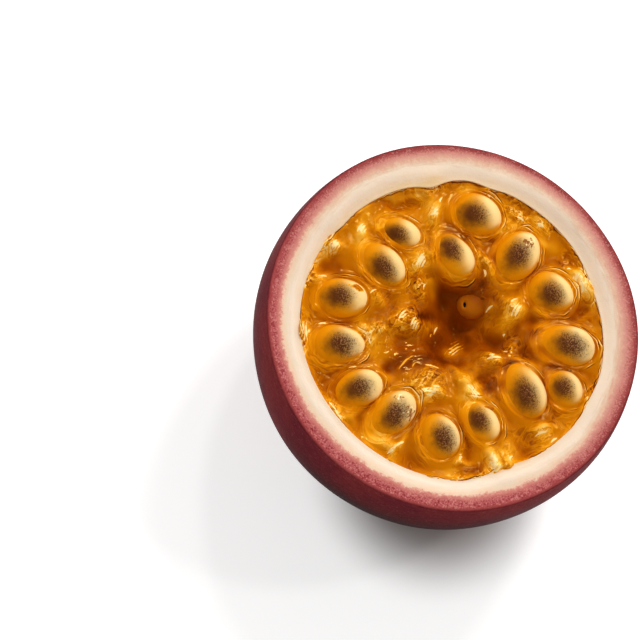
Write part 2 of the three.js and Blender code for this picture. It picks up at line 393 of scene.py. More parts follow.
def wall_points():
    """All rows on one grid: points, how far in from the peel's edge, and how far below the lip."""
    angle = np.linspace(0, 2 * math.pi, WALL_STEPS_ROUND, endpoint=False)[None, :]
    outside, outside_z, outside_in = peel_rows(angle)
    across, across_z, across_in = cut_rows(angle, outside[-1:])
    inside, inside_z, below = bowl_rows(angle, CUT_Z - across_z[-1:])
    radius = np.concatenate([outside, across, inside])
    height = np.concatenate([outside_z, across_z, inside_z])
    points = np.stack([radius * np.cos(angle), radius * np.sin(angle), height], axis=-1)
    inwards = np.concatenate([outside_in, across_in, across_in[-1:] + below])
    below_lip = np.concatenate([0 * outside, 0 * across, below])
    return points, inwards, below_lip


print("wall rows and columns:", wall_points()[1].shape)

# %% [markdown]
# The grid's first and last rows are closed to a pole each. The mesh also carries what its finish
# needs: how far in a point is, where it lies round the rim, and on which sides the bands are
# sharper, the pink is deeper and the painted shade on the peel is deepest.

# %% The wall
PINK_SIDE = math.radians(270)
# The side where the peel's painted shade is deepest.
SHADE_SIDE = math.radians(300)
PINK_WAVES = [(112, 45, -0.5), (225, 25, -0.3), (272, 20, 0.2), (25, 30, 0.15)]
BOWL_FLOOR_IN = 20


def facing(azimuth, side):
    """From 0 to 1, how much a direction round the axis faces a side: half of 1 plus the cosine."""
    return 0.5 + 0.5 * np.cos(azimuth - side)


def build_wall():
    """Welds the grid's first and last rows to a pole each, and keeps how far in each point is."""
    points, inwards, below_lip = wall_points()
    rows, columns = inwards.shape
    poles = np.array([[0, 0, 0], [0, 0, points[-1, :, 2].mean()]])
    all_points = np.vstack([points.reshape(-1, 3), poles])
    first, last = np.arange(columns), np.arange(columns) + (rows - 1) * columns
    faces = [grid_faces(rows, columns, True), fan_faces(first, rows * columns, True),
             fan_faces(last, rows * columns + 1, False)]
    azimuth = np.arctan2(all_points[:, 1], all_points[:, 0])
    return make_object("peel_and_pith", all_points, faces, {
        "inwards": np.concatenate([inwards.ravel(), [0, BOWL_FLOOR_IN]]),
        "below_lip": np.concatenate([below_lip.ravel(), [0, BOWL_FLOOR_IN]]),
        "round_x": np.cos(azimuth),
        "round_y": np.sin(azimuth),
        "bloom": facing(azimuth, PINK_SIDE),
        "pinker": wave_round(np.degrees(azimuth), PINK_WAVES),
        "height": all_points[:, 2] / CUT_Z,
        "dusk": facing(azimuth, SHADE_SIDE),
    })


wall = build_wall()

# %% [markdown]
# Seen at the cut, the wall changes colour inwards: a thin dark skin, a dark red line, a pink band
# full of red and pale specks, peach, then cream pith, with a thread of juice below the lip. On one
# side the pink is narrow and sharp, on the other broad and soft, so two ramps are blended. Noise
# shifts both: coarse blotches, fine specks in the pink, and long streaks that follow the rim in the
# cream. A painted image would need a map of the surface, while these bands need only a distance.
# Outside, the peel is a matt maroon, mottled and finely flecked, with painted shade low down.

# %% Finish of the wall
BAND_DEPTH = 6.0
PINK_ENDS = (2.2, 3.4)
CREAM_STARTS = (1.8, 3.0)
RIM_STREAKS_ACROSS, RIM_STREAKS_ALONG = 3.2, 9.0
SPECK_COLOUR, PALE_SPECK_COLOUR = linear(140, 42, 50), linear(232, 160, 150)
JUICE_COLOUR = linear(214, 128, 22)
FLECK_COLOUR, SHADE_COLOUR = linear(150, 84, 84), linear(30, 8, 10)


def cut_colour(start, inwards, speck, dots):
    """Two ramps by distance from the peel's edge, with specks in the pink and juice at the lip."""
    bloom = start.value("bloom")
    blotches = (start.noise(260, 3.0, 0.6) - 0.5) * 0.9
    ragged = ((speck - 0.5) + (dots - 0.5) * 0.7) * (1 - inwards.rising(*PINK_ENDS))
    layers = start.noise_at(
        inwards * RIM_STREAKS_ACROSS, start.value("round_x") * RIM_STREAKS_ALONG,
        start.value("round_y") * RIM_STREAKS_ALONG, 3.0) - 0.5
    streaks = layers * 1.6 * inwards.rising(*CREAM_STARTS)
    pinker = start.value("pinker") * inwards.rising(0.5, 1.8)
    band = (inwards - pinker + blotches + ragged + streaks) / BAND_DEPTH
    sharp = band.ramp(
        (0.0, 158, 62, 62), (0.06, 174, 80, 78), (0.17, 188, 94, 94), (0.26, 202, 112, 106),
        (0.33, 222, 146, 130), (0.385, 247, 208, 180), (0.44, 243, 216, 184), (0.52, 242, 220, 196),
        (0.62, 247, 228, 206), (0.74, 243, 218, 190), (0.83, 241, 206, 166), (0.93, 236, 192, 140))
    broad = band.ramp(
        (0.0, 110, 42, 48), (0.07, 146, 60, 58), (0.13, 176, 88, 84), (0.20, 204, 128, 116),
        (0.29, 214, 150, 134), (0.38, 224, 172, 148), (0.48, 234, 202, 174), (0.56, 244, 222, 198),
        (0.68, 246, 222, 196), (0.84, 244, 214, 178), (0.95, 240, 204, 154))
    bands = bloom.rising(0.25, 0.85).blend(broad, sharp)
    pink = (1 - band.rising(0.22, 0.32)) * inwards.rising(0.2, 0.6)
    dark = (dots * 0.7 + speck * 0.5).rising(0.635, 0.69) * pink
    pale = (1 - (dots * 0.75 + speck * 0.45).rising(0.505, 0.56)) * pink
    cut = (dark * (0.35 + bloom * 0.45)).blend(bands, SPECK_COLOUR)
    cut = (pale * 0.45).blend(cut, PALE_SPECK_COLOUR)
    return start.value("below_lip").rising(0.02, 0.5).blend(cut, JUICE_COLOUR)


def peel_colour(start):
    """Two mottled maroons mixed by level streaks, then painted shade low down, deepest on one side."""
    low = 1 - start.value("height").rising(0.66, 1.0)
    mottle = start.noise(110, 3.0, 0.55).rising(0.3, 0.7)
    plum = mottle.blend(linear(84, 24, 32), linear(100, 30, 32))
    rosy = mottle.blend(linear(104, 36, 42), linear(122, 46, 46))
    level_streaks = start.noise(900, 3.0, 0.6, (1, 1, 8.0)).rising(0.3, 0.75)
    peel = level_streaks.blend(plum, rosy)
    # Painted shade: the peel is darker low down, most on the shade side.
    shade = low * (start.value("dusk").rising(0.8, 0.98) * 0.6 + 0.35)
    flecks = start.noise(2600, 1.0, 0.5, (1, 1, 2.0)).rising(0.62, 0.72) * (0.3 - low * 0.18)
    return flecks.blend(shade.blend(peel, SHADE_COLOUR), FLECK_COLOUR)


def wall_finish():
    """The peel's colour outside, the bands at the cut, and a fine grain on both."""
    material, start = new_finish("peel_and_pith")
    inwards = start.value("inwards")
    speck, dots = start.noise(1700, 3.0, 0.65), start.noise(4200, 2.0, 0.6)
    at_cut = inwards.rising(0.02, 0.3)
    bump = start.node("ShaderNodeBump", inputs={
        "Strength": 0.35, "Distance": 0.0002, "Height": speck * 0.5 + dots * 0.5})
    return close_finish(material, start.principled(
        Base_Color=at_cut.blend(peel_colour(start), cut_colour(start, inwards, speck, dots)),
        Roughness=0.42 + at_cut * 0.2, Specular_IOR_Level=0.003, Normal=bump,
        Subsurface_Weight=0.12, Subsurface_Radius=(1.0, 0.5, 0.35), Subsurface_Scale=0.0008))


wall.data.materials.append(wall_finish())
belongs(wall, "peel", "shell")

# %% [markdown]
# ## Where the seeds lie
# A ring of seeds sits near the pith, each in its own sac, with two a little further in. A seed is
# an egg shape lying flat. It could be placed by x and y, but direction and distance from the axis
# show the ring at a glance. The small sac in the hollow is placed the same way.

# %% Seeds
SEED_CENTRE_DEPTH = 1.95
SEED_FLATNESS = 0.84
Egg = namedtuple("Egg", "x y length width turn taper")


def from_axis(direction, distance, *rest):
    """Direction in degrees and distance from the axis, turned into x and y, before the rest."""
    angle = math.radians(direction)
    return (distance * math.cos(angle), distance * math.sin(angle), *rest)


# Direction, distance, half length, half width, turn, and how much narrower the front end is.
SEEDS = [Egg(*from_axis(*row)) for row in [
    (11, 17.0, 2.75, 2.5, -12, 0.06), (32, 15.5, 4.1, 2.85, 208, 0.14),
    (60, 14.6, 3.25, 2.9, 20, 0.14), (87, 13.8, 3.85, 2.9, 94, 0.05),
    (115, 16.3, 3.4, 2.9, 20, 0.05), (125, 10.1, 3.35, 2.35, 158, 0.16),
    (156, 14.5, 3.0, 2.05, 195, 0.05), (176, 12.4, 3.5, 2.5, 174, 0.06),
    (205, 15.0, 3.45, 2.75, 41, 0.1), (229, 15.5, 3.6, 2.7, 41, 0.16),
    (253, 15.4, 3.5, 2.55, 240, 0.08), (274, 14.6, 3.95, 2.6, 264, 0.04),
    (301, 14.9, 3.2, 2.7, 148, 0.06), (325, 13.2, 3.05, 2.25, 158, 0.1),
    (358, 12.6, 4.05, 2.8, 153, 0.08),
]]
HOLLOW_SAC = Egg(*from_axis(88, 5.6, 2.1, 1.9, 41, 0.0))
HOLLOW_SAC_DEPTH = 4.9

# The slit in the small sac: half length, half width and turn after its place.
SLIT = from_axis(98, 4.6, 0.42, 0.20, 133)


def local_place(x, y, piece):
    """A point's place along and across a seed or lump, each 1 on its outline."""
    centre_x, centre_y, length, width, turn = piece[:5]
    dx, dy = x - centre_x, y - centre_y
    cosine, sine = math.cos(math.radians(turn)), math.sin(math.radians(turn))
    return (dx * cosine + dy * sine) / length, (dy * cosine - dx * sine) / width


print(len(SEEDS), "seeds")

# %% [markdown]
# Between the seeds the gel has no rule: lumps and pools of it lie where the knife left them. They
# could be strewn by random numbers, but then the eye finds the same lump everywhere. Here each one
# is an oval with its own place, size and height. So are the stains, where the gel is darker or
# paler: partly thicker or thinner gel, partly painted shade and painted light. So are the glints on
# folds of skin, which are painted highlights. Their places were read off or measured, and turned
# into millimetres outside this script.

# %% Lumps, pools, stains and glints
# Lumps: x, y, half length, half width, turn, height (below zero for a pool), and how crumpled.
LUMPS = [
    (-18.7, -1.5, 1.4, 1.1, 129, 0.9, 0.5), (-17.4, 2.8, 1.3, 1.1, 99, 0.6, 0.0),
    (-11.7, 11.0, 2.1, 1.0, 104, 1.1, 0.5), (-9.1, 4.3, 1.7, 1.3, 89, 0.9, 0.6),
    (-6.6, 1.6, 1.6, 1.4, 79, 1.0, 1.0), (-5.7, -3.0, 2.3, 2.0, 39, 1.1, 1.0),
    (-10.7, -3.4, 1.4, 1.0, 59, 0.7, 0.3), (-17.5, -6.0, 1.3, 0.7, 44, 0.8, 0.2),
    (-14.6, -13.2, 1.1, 0.5, 134, 0.8, 0.4), (-7.6, -6.4, 1.0, 0.9, 129, 0.8, 0.8),
    (-2.2, 18.2, 1.5, 0.7, 19, 0.7, 0.8), (-7.4, 17.8, 0.9, 0.6, 9, 0.7, 0.8),
    (-3.5, 18.7, 1.3, 0.8, 19, 0.3, 1.0), (-2.3, 9.6, 1.7, 0.6, -26, 0.8, 0.6),
    (9.2, 16.2, 1.8, 0.9, -26, 1.2, 0.3), (4.6, 7.9, 1.8, 1.5, 99, 1.3, 0.5),
    (5.1, 5.3, 1.3, 1.2, 129, 0.9, 0.2), (0.4, 19.4, 1.0, 0.5, -6, 0.6, 0.8),
    (1.6, -7.6, 2.1, 1.2, 39, 0.6, 0.9), (3.2, -8.8, 1.6, 1.0, 39, 1.1, 0.4),
    (-7.8, -8.4, 1.3, 0.8, 119, 0.8, 0.7), (-5.3, -19.0, 1.7, 0.7, -16, 0.5, 1.0),
    (-3.3, -18.5, 1.0, 0.9, 39, 0.5, 0.0), (4.0, -17.8, 1.4, 0.5, 72, 1.0, 0.3),
    (2.3, -0.9, 1.4, 0.8, 79, 0.6, 0.5), (6.8, 0.2, 1.8, 0.8, 49, 1.1, 0.6),
    (7.8, 3.1, 0.7, 0.7, 39, 0.5, 1.0), (4.9, -4.3, 1.5, 0.9, -21, 1.1, 0.2),
    (7.4, -5.2, 1.5, 1.1, -6, 1.3, 0.2), (10.9, -6.0, 2.1, 0.5, -13, 1.0, 0.1),
    (17.7, -3.8, 1.6, 1.0, 54, 1.1, 0.15), (15.2, -10.9, 1.7, 1.0, 119, 1.2, 0.15),
    (16.6, -9.3, 1.5, 1.0, 129, 1.1, 0.5), (11.5, -13.2, 0.7, 0.6, 99, 0.6, 0.6),
    (-9.2, -8.3, 1.2, 0.9, 99, 0.5, 0.2), (2.0, -19.0, 1.8, 0.8, 10, 0.6, 0.0),
    (-1.6, 16.4, 1.8, 0.9, 30, 0.5, 0.2), (-9.6, 16.9, 1.6, 0.8, 20, 0.5, 0.1),
    (2.0, -10.3, 1.4, 0.9, 60, 0.5, 0.1), (-13.8, 13.0, 0.9, 0.6, 30, 0.5, 0.5),
    (-15.6, 8.9, 2.9, 1.0, 44, -0.9, 0.0), (-17.8, -4.2, 1.3, 1.1, 39, -0.9, 0.0),
    (-8.8, -2.6, 1.1, 1.1, 39, -0.7, 0.0), (4.6, 16.6, 1.7, 1.5, 39, -0.5, 0.0),
    (11.2, 13.4, 1.3, 1.1, -6, -0.9, 0.0), (7.7, 8.1, 1.3, 1.3, 39, -1.0, 0.0),
    (-4.2, 11.9, 1.3, 1.0, 69, -0.8, 0.0), (-3.6, -9.5, 1.1, 1.1, 39, -1.3, 0.0),
    (-3.5, -5.2, 1.7, 1.3, 79, -1.3, 0.0), (6.2, -17.6, 1.9, 1.0, 24, -0.8, 0.0),
    (-1.4, -16.9, 1.5, 0.5, 84, -0.8, 0.0), (3.3, -11.9, 0.8, 1.1, 39, -0.6, 0.0),
    (7.8, -2.3, 1.4, 1.1, 39, -1.2, 0.0), (17.3, -6.4, 1.5, 1.0, -41, -0.9, 0.0),
    (11.2, -11.6, 1.3, 0.7, 129, -0.8, 0.0), (9.7, 3.7, 1.1, 1.1, 39, -1.0, 0.0),
]

# Stains are partly thicker or thinner gel, partly painted shade and painted light.
# Stains: x, y, half length, half width, turn and how much darker (below zero for paler gel).
STAINS_AND_SHADING = [
    (-3.0, 1.2, 2.6, 1.4, 90, 0.08), (-0.4, -1.4, 1.8, 1.3, 60, 0.10), (-0.6, -6.2, 2.6, 1.5, 60, 0.36),
    (1.9, -6.5, 1.1, 1.0, 60, 0.30), (-2.8, -7.7, 1.6, 1.2, 60, 0.26), (-4.2, -0.6, 1.2, 1.0, 90, 0.16),
    (-6.2, 11.0, 1.3, 0.9, 60, 0.20), (8.6, 0.6, 1.4, 1.2, 60, 0.36), (9.3, 6.4, 1.4, 1.0, 60, 0.36),
    (6.1, 6.1, 1.2, 1.0, 60, 0.24), (6.0, 9.6, 1.2, 0.8, 120, 0.14), (-7.4, 2.1, 1.1, 0.9, 60, 0.38),
    (2.7, -3.2, 1.8, 1.2, 80, 0.20), (5.9, 0.4, 1.2, 1.0, 60, 0.16), (-1.4, 7.2, 1.8, 1.0, 0, 0.22),
    (-5.5, -2.3, 2.1, 1.5, 60, 0.40), (-8.9, -4.2, 1.3, 0.9, 60, 0.20),
    (-1.0, 10.9, 1.5, 1.2, 60, 0.50), (-8.6, 10.3, 1.1, 0.9, 60, 0.25),
    (6.9, 17.1, 1.2, 0.9, 150, 0.30), (13.7, -13.5, 1.2, 0.9, 40, 0.28),
    (-7.4, 6.4, 1.0, 0.9, 60, 0.24), (-7.6, -16.4, 1.9, 1.2, 60, 0.30), (5.3, 9.9, 1.2, 0.8, 120, 0.18),
    (11.6, 5.1, 1.6, 0.9, 10, 0.30), (9.6, -2.0, 1.5, 1.0, 60, 0.36), (-10.1, -2.0, 1.2, 0.9, 60, 0.22),
    (16.8, -2.3, 1.3, 1.0, 60, 0.20), (18.4, 5.4, 1.2, 0.8, 60, 0.12),
    (10.7, 12.6, 1.2, 1.0, 150, 0.14), (3.1, -17.1, 1.1, 1.0, 0, 0.18), (13.8, 4.0, 1.2, 0.8, 60, 0.22),
    (-15.5, -4.1, 1.0, 0.8, 0, 0.20), (13.9, -4.4, 1.2, 1.4, 60, 0.10),
    (-16.0, 7.4, 1.6, 1.0, 44, 0.12), (3.0, 5.2, 2.2, 1.6, 60, -0.18), (-0.4, 4.4, 2.0, 1.4, 0, -0.06),
    (-2.6, 14.9, 1.8, 1.0, 60, -0.30), (8.6, 15.9, 1.6, 1.0, 150, -0.34),
    (-17.2, 1.8, 1.5, 1.2, 90, -0.22), (-18.0, 4.2, 1.3, 1.0, 90, -0.22),
    (-9.2, -8.2, 1.6, 1.2, 99, -0.30), (-10.1, 2.9, 1.2, 1.2, 90, -0.22),
    (15.1, -11.5, 1.6, 1.0, 119, -0.48), (-9.6, 16.7, 1.7, 0.8, 20, -0.22),
    (-18.5, -2.7, 1.3, 1.0, 90, -0.33), (1.8, -19.1, 2.0, 0.8, 10, -0.24),
    (-13.8, 3.4, 1.0, 0.8, 60, -0.18), (-1.5, -13.1, 1.4, 1.0, 90, -0.32),
    (-3.0, -1.2, 1.2, 1.0, 60, -0.32), (8.4, -5.4, 1.4, 1.1, 0, -0.18), (6.2, -6.0, 1.1, 1.0, 0, -0.16),
    (-12.4, 10.8, 1.5, 1.0, 104, -0.18), (4.0, 17.9, 1.5, 0.9, 160, -0.26),
    (-0.1, 19.2, 1.4, 0.6, 0, -0.16), (2.0, -1.0, 1.2, 0.8, 79, -0.18),
    (11.5, -12.4, 1.1, 1.0, 99, -0.24), (-5.2, 3.9, 1.2, 1.0, 0, -0.34),
    (-12.3, -3.1, 1.1, 0.9, 60, -0.14), (-5.7, -9.1, 1.3, 0.9, 60, -0.16),
    (1.4, -10.3, 1.4, 0.9, 60, -0.16), (-5.4, -18.5, 1.4, 0.6, 160, -0.14),
    (-10.4, 7.3, 1.1, 0.8, 60, -0.14), (-15.0, 11.6, 1.5, 1.1, 40, -0.28),
    (-18.8, -4.4, 1.2, 0.8, 90, -0.24), (11.9, 15.2, 1.3, 0.8, 140, -0.28),
    (-3.7, -4.3, 1.0, 0.9, 60, -0.16), (1.7, 17.6, 1.2, 0.8, 0, -0.23),
    (-8.0, 4.4, 1.0, 0.9, 60, -0.14), (3.4, -9.7, 1.2, 0.9, 40, -0.26),
    (-17.2, 8.6, 1.2, 0.9, 60, -0.22), (-6.2, -7.6, 1.0, 0.9, 60, -0.14),
    (18.9, -3.7, 1.2, 0.8, 80, -0.14), (5.0, -10.6, 1.2, 0.9, 60, 0.14),
    (-6.6, -18.1, 1.0, 0.8, 160, 0.22), (7.3, 0.9, 0.9, 0.8, 60, 0.20), (2.3, 7.9, 1.2, 0.8, 0, 0.18),
    (-13.4, -11.2, 1.0, 0.8, 60, 0.14), (14.6, -7.4, 1.0, 0.8, 60, 0.14),
    (-3.4, -9.9, 1.2, 0.9, 0, -0.26), (11.9, -15.2, 1.2, 0.8, 40, -0.16),
    (17.0, -8.4, 1.0, 0.8, 60, -0.14), (10.2, 16.3, 1.2, 0.9, 140, -0.24),
    (7.5, -3.4, 1.1, 0.9, 0, -0.28), (-2.0, 9.3, 1.2, 0.7, 0, -0.12), (12.3, -10.1, 1.0, 0.8, 60, 0.14),
    (13.8, 12.8, 1.0, 0.8, 140, 0.14), (-15.3, -9.5, 1.0, 0.8, 120, 0.14),
    (-10.5, 14.5, 1.0, 0.8, 20, 0.14), (-8.4, -5.7, 1.0, 0.8, 60, 0.14),
    (3.3, -7.1, 0.9, 0.7, 60, 0.12), (10.8, -3.0, 0.9, 0.7, 60, 0.10), (2.5, 6.4, 1.0, 0.7, 70, -0.12),
    (-1.5, 16.8, 1.1, 0.8, 60, -0.16),
]

# Painted glints: x, y, half length, half width and turn.
GLINTS = [
    (-2, -7.6, 1.4, 0.24, 84), (-3, -5.8, 0.2, 0.19, 84), (-3.6, -7.5, 0.4, 0.15, 89),
    (-0.9, -7.1, 0.5, 0.17, 89), (-1.5, -0.4, 0.6, 0.17, 104), (-1.6, -1.4, 0.3, 0.17, 99),
    (2.0, -0.6, 1.5, 0.62, 79), (7.4, 2.7, 0.3, 0.15, 19), (8.1, 2.9, 0.3, 0.17, 79),
    (8.2, 2.3, 0.2, 0.17, 39), (-1.2, 9.2, 0.5, 0.19, -41), (5.2, 7.6, 0.9, 0.5, 99),
    (4, 8.6, 0.5, 0.19, 59), (-18.8, -1.2, 0.6, 0.42, 99), (-11.4, 10.9, 0.6, 0.38, 99),
    (-12, 13.1, 0.6, 0.15, 101), (-8.8, 4.6, 0.8, 0.5, 99), (6.8, 0.6, 0.9, 0.28, 39),
    (7.5, -5.1, 1.0, 0.42, -11), (17.7, -3.7, 0.8, 0.23, 59), (15.2, -10.9, 1.1, 0.31, 124),
    (16.6, -9, 0.4, 0.31, 99), (11.5, -13.2, 0.4, 0.27, 89), (3, -9, 0.8, 0.4, 39),
    (3.2, -7.8, 0.5, 0.14, 39), (4.1, -17.5, 1, 0.15, 72), (3.8, -18.9, 0.5, 0.17, 69),
    (-8.3, -8.2, 0.2, 0.31, 129), (-7.4, -8.6, 0.5, 0.15, 129), (8.6, 16.6, 0.5, 0.31, 99),
    (10, 15.9, 0.6, 0.25, -36), (7.1, 17, 0.3, 0.23, 39), (-17.5, 2.8, 0.7, 0.42, 99),
    (-6.3, -3.1, 0.8, 0.5, 89), (-4.2, -2.7, 0.7, 0.5, 99), (-6.4, 2.5, 0.5, 0.19, 99),
    (-11.1, -2.9, 0.6, 0.15, 69), (-14.6, -13.2, 1.1, 0.42, 129), (-13.6, -10.9, 0.8, 0.15, 49),
    (-5.5, -19, 1.3, 0.14, -16), (-4.3, -19.5, 0.8, 0.14, -21), (-2.1, 18.1, 0.7, 0.19, 14),
    (-7.2, 17.8, 0.3, 0.19, -1), (0.4, 19.2, 0.4, 0.15, -6), (5.9, 4.3, 0.3, 0.17, 109),
    (19.6, -3.4, 0.6, 0.14, 79), (-6.9, -12.9, 0.8, 0.14, 49), (1.2, -5.7, 1.3, 0.14, 27),
    (-17.6, -5.7, 0.7, 0.17, 44), (2.2, 6.1, 0.6, 0.2, 84),
]

# Hollows: centre, half widths along x and y, and depth.
HOLLOWS = [
    (0.2, 2.2, 4.8, 4.4, 5.4), (-3.2, 4.7, 2.6, 2.0, 1.2),
    (5.6, 3.6, 4.2, 2.4, 1.0), (0.2, -2.8, 3.4, 2.4, 1.6),
]

print(len(LUMPS), "lumps and pools,", len(STAINS_AND_SHADING), "stains,", len(GLINTS), "glints")

# %% [markdown]
# ## The pulp
# The sacs fill the bowl to just under the cut. Nothing overhangs, so their wet surface can be one
# height over each point of the disc, which is simpler than sculpting or metaballs. It climbs at the
# wall, sinks into the hollow and swells into lumps. Gel creeps up every seed: far up on the side
# where it still covers the seed, and hardly at all on the other. A smooth maximum of two heights
# makes such a joint, and its softness can change from place to place.

# %% Gel and seeds
PULP_DEPTH = 1.7
GEL_SIDE = math.radians(236)
GEL_WAY = np.array([math.cos(GEL_SIDE), math.sin(GEL_SIDE)])
SEED_SHRINK = 0.07
OUTSIDE_SEED = -9.0


def smooth_max(first, second, softness):
    """The larger of two heights, rounded where they come closer than the softness."""
    near = np.maximum(softness - np.abs(first - second), 0) / softness
    return np.maximum(first, second) + near * near * softness / 4


def egg_height(x, y, seed):
    """Height of a seed's upper side above its centre, a little shrunk; far down outside it."""
    along, across = local_place(x, y, seed)
    along = along * seed.length / (seed.length - SEED_SHRINK)
    across = across * seed.width / (seed.width - SEED_SHRINK)
    girth = np.maximum(1 - seed.taper * along, 0.2)
    left = 1 - along ** 2 - (across / girth) ** 2
    half_height = seed.width * SEED_FLATNESS - SEED_SHRINK
    return np.where(left > 0, np.sqrt(np.maximum(left, 0)) * girth * half_height, OUTSIDE_SEED)


def gel_side(x, y, centre_x, centre_y):
    """From -1 on a seed's dry side to 1 on the side that gel covers: a cosine of the direction."""
    dx, dy = x - centre_x, y - centre_y
    return (dx * GEL_WAY[0] + dy * GEL_WAY[1]) / np.maximum(np.hypot(dx, dy), 0.3)


def gel_on_seeds(x, y, surface):
    """Joins every seed's upper side to the surface, softly where gel covers it."""
    for seed in SEEDS:
        stands_out = np.clip(seed.width * SEED_FLATNESS / 1.2 - 1, 0.2, 1)
        covered = smooth_step(-0.3, 0.8, gel_side(x, y, seed.x, seed.y))
        egg = CUT_Z - SEED_CENTRE_DEPTH + egg_height(x, y, seed)
        surface = smooth_max(surface, egg, 0.2 + 0.7 * stands_out * covered)
    return surface


# %% [markdown]
# A few torn bits of skin lie on the seeds like wet paper. Each is an oval with a ragged outline,
# and a small step in the height where it ends.

# %% Torn films
# Seed's number, offset from its middle along x and y, half length, half width and turn.
FILMS = [(9, 0.65, 2.05, 1.15, 0.55, 20), (14, -0.5, 2.0, 0.9, 0.3, 30)]


def film_cover(x, y):
    """From 0 to 1, how far a torn bit of skin covers each point."""
    cover = 0 * x
    for number, dx, dy, *oval in FILMS:
        seed = SEEDS[number - 1]
        along, across = local_place(x, y, (seed.x + dx, seed.y + dy, *oval))
        torn = np.hypot(along, across) + 0.35 * value_noise(x, y, 0.5, 351)
        cover = np.maximum(cover, 1 - smooth_step(0.75, 1.05, torn))
    return cover


# %% [markdown]
# Torn skins round a seed leave thin creases that follow its outline. So every point has to know
# its nearest seed, how far off that is, and the direction round it. The creases' own noise runs in
# those coordinates.

# %% Skins round the seeds
FAR_OFF = 99
# Distance from the outline, width and height of each crease.
SKIN_EDGES = [(0.35, 0.12, 0.13), (0.85, 0.14, 0.09)]


def nearest_shape(x, y, shapes):
    """Distance from the nearest shape's outline, direction round that shape, its number, and the
    distance from the second nearest outline."""
    away, second, around, owner = FAR_OFF + 0 * x, FAR_OFF + 0 * x, 0 * x, 0 * x
    for number, shape in enumerate(shapes):
        along, across = local_place(x, y, shape)
        own = (np.hypot(along, across) - 1) * (shape[2] + shape[3]) / 2
        closer = own < away
        second = np.where(closer, away, np.minimum(second, own))
        away = np.where(closer, own, away)
        around = np.where(closer, np.arctan2(across, along), around)
        owner = np.where(closer, number, owner)
    return away, around, owner, second


def sac_lines(away, around, owner):
    """Thin creases that follow a seed's outline, like the edges of torn skins.

    Each line has its own distance from the outline, which wanders with the direction, and a
    strength that comes and goes."""
    cx, cy = np.cos(around) * 1.3, np.sin(around) * 1.3 + owner * 3.7
    lines = 0 * away
    for k, (distance, width, height) in enumerate(SKIN_EDGES):
        wobble = 0.25 * value_noise(cx + 5 * k, cy, 1.0, 40 + 7 * k)
        strength = smooth_step(-0.3, 0.5, value_noise(cx + 3 * k, cy + 2, 1.0, 90 + 5 * k))
        lines = lines + height * strength * bell((away - distance - wobble) / width)
    return lines


# %% [markdown]
# Lumps, hollows and glints each add a field over the disc: a sum or a maximum of bells. Their
# places are warped by slow noise first, so that no oval looks drawn. A crumpled lump gets folds,
# and a smooth one gets painted light on the side towards the lamps.

# %% Lumps, hollows and glints as fields
GLINT_BEND = 0.16


def warped(x, y):
    """The same points pushed about by slow noise, by up to about a millimetre."""
    warp_x = x + 0.9 * value_noise(x, y, 3.2, 301) + 0.35 * value_noise(x, y, 1.3, 303)
    warp_y = y + 0.9 * value_noise(x, y, 3.2, 302) + 0.35 * value_noise(x, y, 1.3, 304)
    return warp_x, warp_y


def hollow_depth(warp_x, warp_y):
    """How far the pulp sinks: one bell for each hollow."""
    sunk = 0 * warp_x
    for cx, cy, half_x, half_y, deep in HOLLOWS:
        sunk = sunk + deep * bell(np.hypot((warp_x - cx) / half_x, (warp_y - cy) / half_y))
    return sunk


def lump_fields(y, warp_x, warp_y):
    """Height, crumple, painted light and gleam of all lumps and pools, each from one bell a lump."""
    raised, crumpled, bright, gleam = 0 * y, 0 * y, 0 * y, 0 * y
    for number, lump in enumerate(LUMPS):
        _, centre_y, _, width, _, height, crumple = lump
        along, across = local_place(warp_x, warp_y, lump)
        reach = np.hypot(along, across)
        raised += height * bell(reach)
        if height < 0:
            continue
        share = bell(reach / 0.95)
        ridges = layered_noise(across * 3.0 + number * 7, along * 1.1, 0.8, 200 + number, 3)
        raised += crumple * 0.2 * (1 - np.abs(ridges) * 2) * share
        crumpled += crumple * share
        # Painted light: lumps are brighter, and sparkle more, on the side towards the lamps.
        sunward = smooth_step(-0.8, 0.8, (y - centre_y) / width)
        bright += height * (1 - crumple * 0.75) * bell(reach / 0.9) * (0.25 + 0.75 * sunward)
        gleam = np.maximum(gleam, crumple * bell(reach / 1.1) * sunward)
    return raised, crumpled, bright, gleam


def glint_fields(x, y):
    """How near each point is to a painted glint, and how far to the side of that glint's bent line."""
    glint, glint_side = 0 * x, 0 * x
    for place in GLINTS:
        along, across = local_place(x, y, place)
        strength = bell(np.hypot(along, across / 1.1) * 0.9)
        side = across * place[3] + GLINT_BEND * along ** 2
        glint_side = np.where(strength > glint, side, glint_side)
        glint = np.maximum(glint, strength)
    return glint, glint_side


# %% [markdown]
# Gel looks darker the deeper the light has to travel in it. A ray tracer could work that out with a
# volume, slowly and with noise. Here each point carries a `glow` instead: less with depth, in gaps
# between seeds and in stains, more on lumps and ridges and round a seed on its covered side. The
# darkening in gaps and dips is painted shade, and the brightening on ridges, on the lamp side of
# lumps and round seeds is painted light. The stains are partly that too.

# %% How brightly the gel glows
GLOW_BY_DEPTH = [(0.3, 0.64), (1.0, 0.56), (1.7, 0.50), (2.4, 0.39), (3.4, 0.31), (5.0, 0.26), (8.0, 0.23)]
BRIGHT_GLOW = 0.78


def blurred(height, steps):
    """The height smoothed by a bell about so many grid steps wide, done with a Fourier transform."""
    frequency = np.fft.fftfreq(height.shape[0])
    keep = np.exp(-2 * (math.pi * steps * frequency) ** 2)
    return np.real(np.fft.ifft2(np.fft.fft2(height) * keep[:, None] * keep[None, :]))


